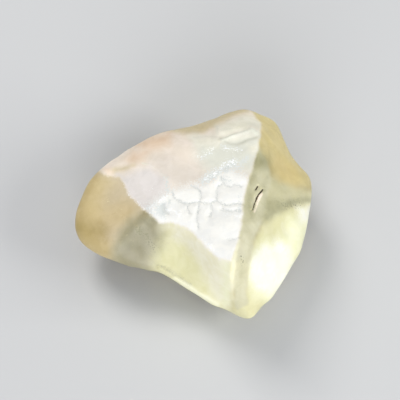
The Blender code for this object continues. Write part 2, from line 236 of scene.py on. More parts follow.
# Mesh attribute of the scuffed edges on the back, and the zones that end where the frost does.
WORN = "worn"
ON_FROST = (Zone.PEACH, Zone.SAND, Zone.PLATE, Zone.UPPER, Zone.CHIP, Zone.CREASE, Zone.CREST_HIGHLIGHT,
            Zone.CORNER_HIGHLIGHT, Zone.CRUST, Zone.HOLLOW_SHADE, Zone.SUGAR)


@dataclass(frozen=True)
class Patch:
    """Where a zone lies on the face.

    Attributes:
        zone: The zone that the patch belongs to.
        ring: Corners of the patch in the face frame, or the line that a band follows.
        band: Half width of the band along the line. Zero means that the ring is filled.
        thin: Taken off the distance, so that a ragged patch breaks up into specks.
    """

    zone: Zone
    ring: Chain
    band: float = 0.0
    thin: float = 0.0

    def reach(self, x: Array, y: Array) -> Array:
        """Distance in from the patch's edge.

        Args:
            x: Face-frame x of the points.
            y: Face-frame y of the points.

        Returns:
            The distance of each point, negative outside the patch.
        """
        if self.band > 0.0:
            return self.band - self.thin - chain_distance(x, y, self.ring)
        return ring_distance(x, y, self.ring) - self.thin


@dataclass
class FaceFrame:
    """The frame the face is laid out in: tilted up from the floor, seen square on.

    Attributes:
        tilt: Angle between the floor and the line of sight.
        centre: The frame's origin over the floor.
        heart: Point inside the stone that sees its whole skin.
        taper: Growth of what is laid out per millimetre toward the eye.

    The axes right, up and out are worked out from the tilt.
    """

    tilt: float = 60.0
    centre: Point3 = (0.0, 0.0, 13.2)
    heart: Point3 = (1.0, 1.0, 10.5)
    taper: float = 1.0 / 280.0

    def __post_init__(self) -> None:
        """Works out the axes."""
        lean = math.radians(self.tilt)
        self.right = np.array([1.0, 0.0, 0.0])
        self.up = np.array([0.0, math.sin(lean), math.cos(lean)])
        self.out = np.array([0.0, -math.cos(lean), math.sin(lean)])

    def laid_out(self, p: Array) -> tuple[Array, Array, Array]:
        """Lays points out in the frame, with x and y as the eye sees them.

        Args:
            p: Points of the stone.

        Returns:
            Face-frame x, y and height of each point.
        """
        q = p - np.array(self.centre)
        z = q @ self.out
        grow = 1.0 / (1.0 - z * self.taper)
        return (q @ self.right) * grow, (q @ self.up) * grow, z


@dataclass
class Outline:
    """The stone's outline seen square on to the face.

    Attributes:
        rim: x, y and how far the face edge stands in front of the wall's widest line.
        limb_height: Height of the widest line at the middle.
        limb_lean: How the widest line drops up the face.
        front_swell: Radius-like bulge of the wall in front of its widest line.
        back_swell: The same behind it.
        fine_harmonics: Finest waves of the outline at the widest line.
        plain_harmonics: Finest waves of the outline far from it.
        detail_reach: How far from the widest line the fine waves last.
        curve_steps: Points of the curve from each rim point to the next.
        directions: Directions that the radius is worked out for.
    """

    rim: tuple[Point3, ...] = (
        (9.9, 19.1, 2.6), (12.3, 18.0, 2.6), (14.7, 17.0, 2.4), (16.3, 14.2, 2.6),
        (17.5, 11.2, 2.6), (19.5, 8.4, 2.4), (21.2, 6.7, 2.2), (21.5, 2.9, 2.6),
        (20.0, -5.3, 2.6), (18.3, -8.9, 2.6), (14.4, -15.2, 2.8), (12.9, -16.4, 3.2),
        (11.1, -19.1, 3.8), (9.8, -19.5, 3.6), (5.5, -17.1, 2.6), (3.5, -16.5, 2.6),
        (-1.6, -13.2, 2.8), (-6.1, -10.5, 2.6), (-8.2, -10.2, 2.6), (-14.8, -8.4, 3.2),
        (-19.7, -5.7, 2.6), (-21.4, -3.0, 2.4), (-21.5, -1.1, 2.2), (-21.2, 0.8, 2.1),
        (-19.8, 4.3, 2.0), (-17.2, 7.8, 1.8), (-11.1, 12.1, 2.2), (-6.5, 14.5, 2.8),
        (1.3, 16.3, 3.6), (7.3, 18.7, 3.0),
    )
    limb_height: float = -5.5
    limb_lean: float = -0.28
    front_swell: float = 60.0
    back_swell: float = 24.0
    fine_harmonics: float = 42.0
    plain_harmonics: float = 5.0
    detail_reach: float = 4.0
    curve_steps: int = 12
    directions: int = 720

    def curve(self) -> Array:
        """Draws a smooth closed curve through the rim points.

        Returns:
            x and y of the curve's points.
        """
        ring = np.array([p[:2] for p in self.rim])
        steps = (np.arange(self.curve_steps) / self.curve_steps)[:, None]
        spans = []
        for i in range(len(ring)):
            a, b, c, d = (ring[(i + k) % len(ring)] for k in (-1, 0, 1, 2))
            spans.append(0.5 * (2 * b + (c - a) * steps
                                + (2 * a - 5 * b + 4 * c - d) * steps ** 2
                                + (3 * b - a - 3 * c + d) * steps ** 3))
        return np.concatenate(spans)

    def __post_init__(self) -> None:
        """Turns the rim into a radius for each direction."""
        path = self.curve()
        angle = np.arctan2(path[:, 1], path[:, 0])
        order = np.argsort(angle)
        angle = angle[order]
        radius = np.hypot(path[:, 0], path[:, 1])[order]
        turns = np.linspace(-math.pi, math.pi, self.directions + 1)[:-1]
        around = np.concatenate([angle - FULL_TURN, angle, angle + FULL_TURN])
        even = np.interp(turns, around, np.tile(radius, 3))
        self.turns = np.concatenate([turns - FULL_TURN, turns, turns + FULL_TURN])
        self.fine = np.tile(self.eased(even, self.fine_harmonics), 3)
        self.plain = np.tile(self.eased(even, self.plain_harmonics), 3)

    @staticmethod
    def eased(radius: Array, limit: float) -> Array:
        """Radius with its harmonics above the limit faded out."""
        order = np.abs(np.fft.fftfreq(len(radius), 1.0 / len(radius)))
        return np.real(np.fft.ifft(np.fft.fft(radius) * np.exp(-(order / limit) ** 2)))

    def limb(self, y: Any) -> Any:
        """Height of the wall's widest line."""
        return self.limb_height + self.limb_lean * y

    def bound(self, x: Array, y: Array, z: Array) -> Array:
        """Signed distance outside the wall.

        Args:
            x: Face-frame x.
            y: Face-frame y.
            z: Height over the face frame.

        Returns:
            Negative inside the wall.
        """
        angle = np.arctan2(y, x)
        rise = z - self.limb(y)
        detail = np.exp(-(rise / self.detail_reach) ** 2)
        radius = np.interp(angle, self.turns, self.fine) * detail
        radius = radius + np.interp(angle, self.turns, self.plain) * (1.0 - detail)
        swell = rise ** 2 / np.where(rise > 0.0, self.front_swell, self.back_swell)
        return np.hypot(x, y) - radius + swell


@dataclass
class FaceNet:
    """Ridges, valleys and facet borders of the face as chains of heights.

    Attributes:
        outline: The stone's outline.
        span: Half width of the height field.
        points: Height field samples per side.
        crisp_edge: Rounding of the sharp ridge.
        soft_edge: Rounding of every other border.
        ridge_reach: How far the crisp rounding lasts beside the ridge.
        flat_plane: The frosted face: height at the origin, slope along x, slope along y.
        left_plane: The honey-coloured left facet in the same way.
        corner: Top corner, where the ridge starts.
        ridge_foot: Where the ridge is last crisp.
        skirt_reach: How far the net runs on past the rim.
        skirt_drop: How far it falls there.
        weld_digits: Decimals that two points must share to be one corner of the net.
    """

    outline: Outline
    span: float = 27.0
    points: int = 541
    crisp_edge: float = 0.30
    soft_edge: float = 0.9
    ridge_reach: float = 1.3
    flat_plane: Point3 = (5.99, 0.329, -0.620)
    left_plane: Point3 = (8.60, 0.640, -0.470)
    corner: Point2 = (12.1, 16.2)
    ridge_foot: Point2 = (6.8, -11.8)
    skirt_reach: float = 4.0
    skirt_drop: float = 3.0
    weld_digits: int = 5

    @staticmethod
    def on_plane(plane: Point3, x: float, y: float, lift: float = 0.0) -> Point3:
        """A net point on a plane, lifted by a little."""
        return (x, y, plane[0] + plane[1] * x + plane[2] * y + lift)

    def on_flat(self, x: float, y: float, lift: float = 0.0) -> Point3:
        """A net point on the flat frosted face, lifted by a little."""
        return self.on_plane(self.flat_plane, x, y, lift)

    def ridge(self) -> list[Point3]:
        """Lays the sharp ridge down the right of the flat face.

        Returns:
            Its points from the top down.
        """
        return [self.on_flat(12.0, 12.0), self.on_flat(11.1, 9.7), self.on_flat(10.6, 7.2),
                self.on_flat(9.8, 4.7), self.on_flat(9.2, 1.8), self.on_flat(9.0, -2.0),
                self.on_flat(8.3, -4.7), self.on_flat(7.4, -6.9), self.on_flat(7.0, -8.6)]

    def frost_border(self) -> list[Point3]:
        """Lays the lower left border of the flat face.

        Returns:
            Its points from the left corner to the foot of the ridge.
        """
        return [self.on_flat(-13.5, 6.8, -0.7), self.on_flat(-12.0, 4.4, -0.45),
                self.on_flat(-10.4, 1.8, -0.1), self.on_flat(-7.9, -0.4),
                self.on_flat(-6.0, -1.5), self.on_flat(-2.6, -1.8), self.on_flat(0.2, -3.3),
                self.on_flat(2.3, -6.0), self.on_flat(4.8, -8.2), self.ridge()[-1]]

    def chains(self) -> list[list[Point3]]:
        """Lays out every ridge, valley and border.

        Returns:
            The chains of the net, in the face frame.
        """
        rim = [(x, y, self.outline.limb(y) + margin) for x, y, margin in self.outline.rim]
        skirt = []
        for x, y, z in rim:
            grow = 1.0 + self.skirt_reach / math.hypot(x, y)
            skirt.append((x * grow, y * grow, z - self.skirt_drop))
        corner = self.on_flat(*self.corner, -0.15)
        foot = (*self.ridge_foot, 10.6)
        ridge = self.ridge()
        frost = self.frost_border()
        knee = (13.3, 0.0, 6.7)
        belly = (10.3, -8.7, 10.6)
        shoulder = (14.4, 4.4, 4.3)
        fold = self.on_flat(-7.9, 9.1, 0.05)
        brow = self.on_flat(-4.7, 6.5, 0.1)
        cheek = self.on_plane(self.left_plane, -16.6, 2.0, 0.3)
        crown = self.on_flat(-1.0, 11.5, 0.1)
        shelf = self.on_flat(5.1, 14.5, 0.1)
        return [
            rim + rim[:1],
            skirt + skirt[:1],
            [rim[0], corner] + ridge + [foot, (7.1, -16.0, 5.2), rim[13]],
            [ridge[0], (13.5, 9.6, 2.3), shoulder, knee, (11.3, -4.7, 9.3), belly,
             (9.7, -12.9, 7.6), (10.0, -15.8, 4.8), rim[12]],
            [knee, (17.3, 1.6, 2.6), rim[7]],
            [shoulder, (16.0, 7.0, 0.6), rim[5]],
            [belly, (14.6, -8.6, 4.4), rim[9]],
            [rim[25]] + frost,
            [frost[3], (-11.5, -2.7, 2.5), (-13.8, -5.6, 1.9), rim[19]],
            [frost[4], (-7.2, -3.5, 2.1), (-7.4, -6.5, 0.9), rim[18]],
            [frost[6], (-1.6, -8.0, 3.1), rim[16]],
            [frost[8], (3.4, -12.0, 6.2), rim[14]],
            [frost[0], self.on_flat(-9.6, 8.4, -0.2), fold, brow,
             self.on_flat(-3.5, 3.2, 0.05), frost[4]],
            [fold, self.on_flat(-7.6, 12.2, -1.0), rim[26]],
            [brow, crown, shelf, corner],
            [crown, self.on_flat(-0.5, 14.0, -0.5), rim[28]],
            [shelf, self.on_flat(6.5, 16.6, -0.4), rim[29]],
            [frost[1], cheek, rim[24]],
            [cheek, (-17.0, -3.0, -0.9), rim[20]],
        ]

    def triangles(self) -> list[Array]:
        """Cuts the net into triangles, with every chain kept as an edge.

        Returns:
            The three corners of each triangle.
        """
        points: list[Point3] = []
        index: dict[Point2, int] = {}
        edges: list[tuple[int, int]] = []
        for chain in self.chains():
            ids = []
            for p in chain:
                key = (round(p[0], self.weld_digits), round(p[1], self.weld_digits))
                if key not in index:
                    index[key] = len(points)
                    points.append(p)
                ids.append(index[key])
            edges += list(zip(ids, ids[1:]))
        flat = [Vector(p[:2]) for p in points]
        weld = 10.0 ** -self.weld_digits
        verts, _, faces, origin, _, _ = delaunay_2d_cdt(flat, edges, [], 0, weld)
        corners = np.array([(v[0], v[1], points[o[0]][2]) for v, o in zip(verts, origin)])
        return [corners[list(f)] for f in faces]

    def raster(self, x: Array, y: Array) -> Array:
        """Net height at every grid point, carried outward past the net.

        Args:
            x: Face-frame x of the grid.
            y: Face-frame y of the grid.

        Returns:
            The height at each grid point.
        """
        height = np.full(x.shape, np.nan)
        for a, b, c in self.triangles():
            area = (b[0] - a[0]) * (c[1] - a[1]) - (c[0] - a[0]) * (b[1] - a[1])
            if abs(area) < HAIR:
                continue
            u = ((x - a[0]) * (c[1] - a[1]) - (c[0] - a[0]) * (y - a[1])) / area
            v = ((b[0] - a[0]) * (y - a[1]) - (x - a[0]) * (b[1] - a[1])) / area
            within = (u >= -HAIR) & (v >= -HAIR) & (u + v <= 1.0 + HAIR)
            height[within] = (a[2] + (b[2] - a[2]) * u + (c[2] - a[2]) * v)[within]
        return self.filled(height)

    @staticmethod
    def filled(height: Array) -> Array:
        """Carries the known heights of a grid outward into its empty points.

        Args:
            height: Grid of heights, not a number where it is empty.

        Returns:
            The same grid with every point filled.
        """
        while np.isnan(height).any():
            total = np.zeros_like(height)
            count = np.zeros_like(height)
            for shift in ((1, 0), (-1, 0), (0, 1), (0, -1)):
                near = np.roll(height, shift, (0, 1))
                known = ~np.isnan(near)
                total[known] += near[known]
                count[known] += 1
            empty = np.isnan(height) & (count > 0)
            height[empty] = total[empty] / count[empty]
        return height

    @staticmethod
    def blur(values: Array, width: float, step: float) -> Array:
        """Gaussian blur of a grid.

        Args:
            values: The grid.
            width: Width of the blur in millimetres.
            step: Distance between grid points in millimetres.

        Returns:
            The blurred grid.
        """
        sigma = width / step
        reach = int(3 * sigma) + 1
        kernel = np.exp(-0.5 * (np.arange(-reach, reach + 1) / sigma) ** 2)
        kernel /= kernel.sum()
        padded = np.pad(values, reach, mode="edge")
        across = np.apply_along_axis(np.convolve, 0, padded, kernel, "valid")
        return np.apply_along_axis(np.convolve, 1, across, kernel, "valid")

    def broad(self, x: Array, y: Array, step: float) -> Array:
        """Height of the face without its fine relief.

        Args:
            x: Face-frame x of the grid.
            y: Face-frame y of the grid.
            step: Distance between grid points.

        Returns:
            The height, rounded a little at every border and least at the ridge.
        """
        raw = self.raster(x, y)
        ridge = (self.corner, *(p[:2] for p in self.ridge()), self.ridge_foot)
        sharp = np.exp(-(chain_distance(x, y, ridge) / self.ridge_reach) ** 2)
        soft = self.blur(raw, self.soft_edge, step)
        return self.blur(raw, self.crisp_edge, step) * sharp + soft * (1.0 - sharp)


@dataclass(frozen=True)
class Chip:
    """A shallow flake scar that ends in a raised line.

    Attributes:
        edge: The line it ends in, left to right.
        depth: How deep it dips just above the line.
        width: How far up the face it fades out.
        soft: Half width of the line's slope.

    Every length is in millimetres.
    """

    edge: Chain
    depth: float
    width: float
    soft: float = 0.15


@dataclass
class Relief:
    """Small height changes of the face.

    Attributes:
        cracks: Grooves between the lumps of the frost crust.
        crack_width: Half width of a groove.
        crack_depth: Depth of a groove.
        lump_height: How far the crust swells between the grooves.
        lump_reach: Distance from a groove at which the swelling is full.
        chips: Flake scars near the top corner.
        lip: Line of the rounded lip along the lower edge.
        lip_height: Height of the lip over the facet.
        lip_width: Half width of the lip.
        slit: The dark slit beside the ridge.
        slit_width: Half width of the slit's hollow.
        slit_depth: Depth of the slit.
        slit_fade: How far out the hollow's sides end, in half widths.
        pit: The pit above the slit, from end to end.
        pit_width: Half width of the pit's hollow.
        pit_share: Depth of the pit as a share of the slit's.
        slit_half: Half width of the slit's dark floor.
        slit_bead: How far the dark floor's edge wanders.
        bead_size: Length of that wandering.
        pit_half: Half width of the pit's dark floor.
        crack_half: Half width of a crack's colour.
        crack_wander: How far the cracks wander from their lines.
        wander_size: Length of that wandering.
        chip_fade: How far before and after its line's first point a flake scar sets in, and
            how far past the last point it ends.
        chip_tail: How far before the last point it starts to fade.
        crust_fade: Distances in from the crust's edge where its lumps start and are full.
        frost_fade: The same for the flake scars at the frost's edge.
        sugar_fade: The same for the sugar grains.
        crust_sugar: Height of the grains on the crust, as a share of their full height.
        sugar_height: Height of the sugar grains.
        sugar_size: Width of the sugar grains.
        dapple_height: Height of the dappling of the whole face.
        dapple_size: Width of that dappling.
    """

    cracks: tuple[Chain, ...] = (
        ((-0.3, 5.3), (0.4, 4.95), (1.05, 4.5), (1.4, 3.9), (1.45, 3.0), (1.15, 2.3)),
        ((-4.0, 4.4), (-3.6, 3.4), (-3.0, 2.7), (-2.2, 2.15), (-0.9, 1.95), (0.15, 2.0),
         (1.15, 2.3)),
        ((4.45, 4.9), (4.3, 3.5), (4.3, 2.3)),
        ((1.15, 2.3), (2.1, 1.9), (3.2, 1.95), (4.1, 2.3), (4.9, 2.0), (5.4, 1.75),
         (6.3, 1.75), (8.1, 2.0), (8.9, 1.85)),
        ((5.4, 1.75), (5.45, 1.0)),
        ((-0.9, 1.85), (-0.9, 0.8), (-0.5, 0.2)),
        ((0.95, 2.1), (1.05, 1.2), (0.8, 0.2), (0.85, -1.1), (1.1, -2.5)),
        ((5.0, 0.9), (5.95, 0.6), (6.85, 0.4), (7.65, 0.6), (8.7, 0.85)),
        ((6.4, -4.6), (7.6, -4.65), (8.3, -4.2)),
        ((-5.4, 1.6), (-5.2, 0.6), (-4.5, 0.0)),
        ((5.2, 6.9), (5.3, 5.9), (5.9, 5.3), (6.8, 5.1), (7.6, 5.4), (8.9, 5.0)),
        ((4.45, 4.9), (5.3, 5.4)),
        ((3.2, 1.95), (3.5, 0.9), (3.1, -0.4)),
    )
    crack_width: float = 0.26
    crack_depth: float = 0.17
    lump_height: float = 0.24
    lump_reach: float = 0.95
    chips: tuple[Chip, ...] = (
        Chip(((4.7, 13.6), (6.0, 13.9), (7.2, 14.45), (8.5, 14.8), (9.9, 15.3), (10.5, 15.7),
              (11.8, 14.9)), 0.60, 1.9, 0.16),
        Chip(((5.2, 13.6), (6.6, 12.85), (7.8, 12.65), (9.0, 13.0), (10.2, 13.6), (12.2, 14.1)),
             0.30, 1.2, 0.40),
        Chip(((0.2, 13.9), (2.8, 14.1), (4.6, 14.0)), 0.16, 0.9),
        Chip(((-9.3, 9.2), (-7.8, 9.1), (-6.7, 8.4), (-6.0, 7.6), (-4.6, 6.3)), 0.12, 1.0),
    )
    lip: Chain = ((-6.2, -10.0), (-4.2, -11.1), (-2.3, -12.3), (-0.5, -13.5), (1.3, -14.7),
                  (3.6, -15.9), (5.4, -16.5))
    lip_height: float = 0.30
    lip_width: float = 0.45
    slit: Chain = ((12.7, 4.4), (11.9, 3.5), (11.6, 2.8), (11.2, 1.9), (10.85, 0.7))
    slit_width: float = 0.26
    slit_depth: float = 0.50
    slit_fade: float = 1.6
    pit: Chain = ((11.75, 5.0), (11.4, 4.4))
    pit_width: float = 0.36
    pit_share: float = 0.9
    slit_half: float = 0.14
    slit_bead: float = 0.09
    bead_size: float = 0.6
    pit_half: float = 0.13
    crack_half: float = 0.12
    crack_wander: float = 0.12
    wander_size: float = 1.1
    chip_fade: float = 0.6
    chip_tail: float = 0.4
    crust_fade: Point2 = (-0.8, 1.0)
    frost_fade: Point2 = (-0.2, 0.4)
    sugar_fade: Point2 = (-1.2, 0.2)
    crust_sugar: float = 0.35
    sugar_height: float = 0.05
    sugar_size: float = 0.55
    dapple_height: float = 0.05
    dapple_size: float = 2.2

    def slit_mask(self, x: Array, y: Array) -> Array:
        """Marks the slit and its pit.

        Args:
            x: Face-frame x of the points.
            y: Face-frame y of the points.

        Returns:
            One in the slit, nearly one in the pit and zero away from both.
        """
        side = self.slit_width * self.slit_fade
        line = 1.0 - smoothstep(chain_distance(x, y, self.slit), 0.0, side)
        hole = 1.0 - smoothstep(chain_distance(x, y, self.pit), 0.0, self.pit_width)
        return np.maximum(line, self.pit_share * hole)

    def crack_reach(self, x: Array, y: Array) -> Array:
        """Distance to the nearest crack, with the cracks a little wavy.

        Args:
            x: Face-frame x of the points.
            y: Face-frame y of the points.

        Returns:
            The distance of each point in millimetres.
        """
        wander = Grain(Seed.CRACKS)
        away_x, away_y = 31.0, 17.0
        dx = self.crack_wander * wander.layered(x, y, self.wander_size)
        dy = self.crack_wander * wander.layered(x + away_x, y + away_y, self.wander_size)
        nearest = np.full(np.shape(x), FAR)
        for crack in self.cracks:
            nearest = np.minimum(nearest, chain_distance(x + dx, y + dy, crack))
        return nearest

    def chipped(self, x: Array, y: Array) -> Array:
        """Depth taken off by the flake scars.

        Args:
            x: Face-frame x of the points.
            y: Face-frame y of the points.

        Returns:
            The depth at each point in millimetres.
        """
        depth = np.zeros(np.shape(x))
        for chip in self.chips:
            xs = [p[0] for p in chip.edge]
            ys = [p[1] for p in chip.edge]
            above = y - np.interp(x, xs, ys)
            start = smoothstep(x, xs[0] - self.chip_fade, xs[0] + self.chip_fade)
            end = smoothstep(-x, -xs[-1] - self.chip_fade, -xs[-1] + self.chip_tail)
            slope = smoothstep(above, -chip.soft, chip.soft)
            dip = slope * np.exp(-np.maximum(above, 0.0) / chip.width)
            depth = depth + chip.depth * dip * (start * end)
        return depth

    def height(self, x: Array, y: Array, reach: dict[Zone, Array]) -> Array:
        """Height change at grid points.

        Args:
            x: Face-frame x.
            y: Face-frame y.
            reach: Distance in from each zone's edge.

        Returns:
            The change, negative into the stone.
        """
        crust = smoothstep(reach[Zone.CRUST], *self.crust_fade)
        sugar = smoothstep(reach[Zone.SUGAR], *self.sugar_fade)
        sugar = np.maximum(sugar, self.crust_sugar * crust)
        frosted = smoothstep(reach[Zone.BLUSH], *self.frost_fade)
        crack = self.crack_reach(x, y)
        lumps = self.lump_height * (1.0 - np.exp(-(crack / self.lump_reach) ** 2))
        cuts = self.crack_depth * np.exp(-(crack / self.crack_width) ** 2)
        grain = Grain(Seed.SUGAR).layered(x, y, self.sugar_size, 2) * self.sugar_height
        dapple = Grain(Seed.DAPPLE).layered(x, y, self.dapple_size, 3) * self.dapple_height
        bead = self.lip_height * np.exp(-(chain_distance(x, y, self.lip) / self.lip_width) ** 2)
        change = (lumps - cuts) * crust + grain * sugar - self.chipped(x, y) * frosted
        return change + dapple + bead - self.slit_depth * self.slit_mask(x, y)


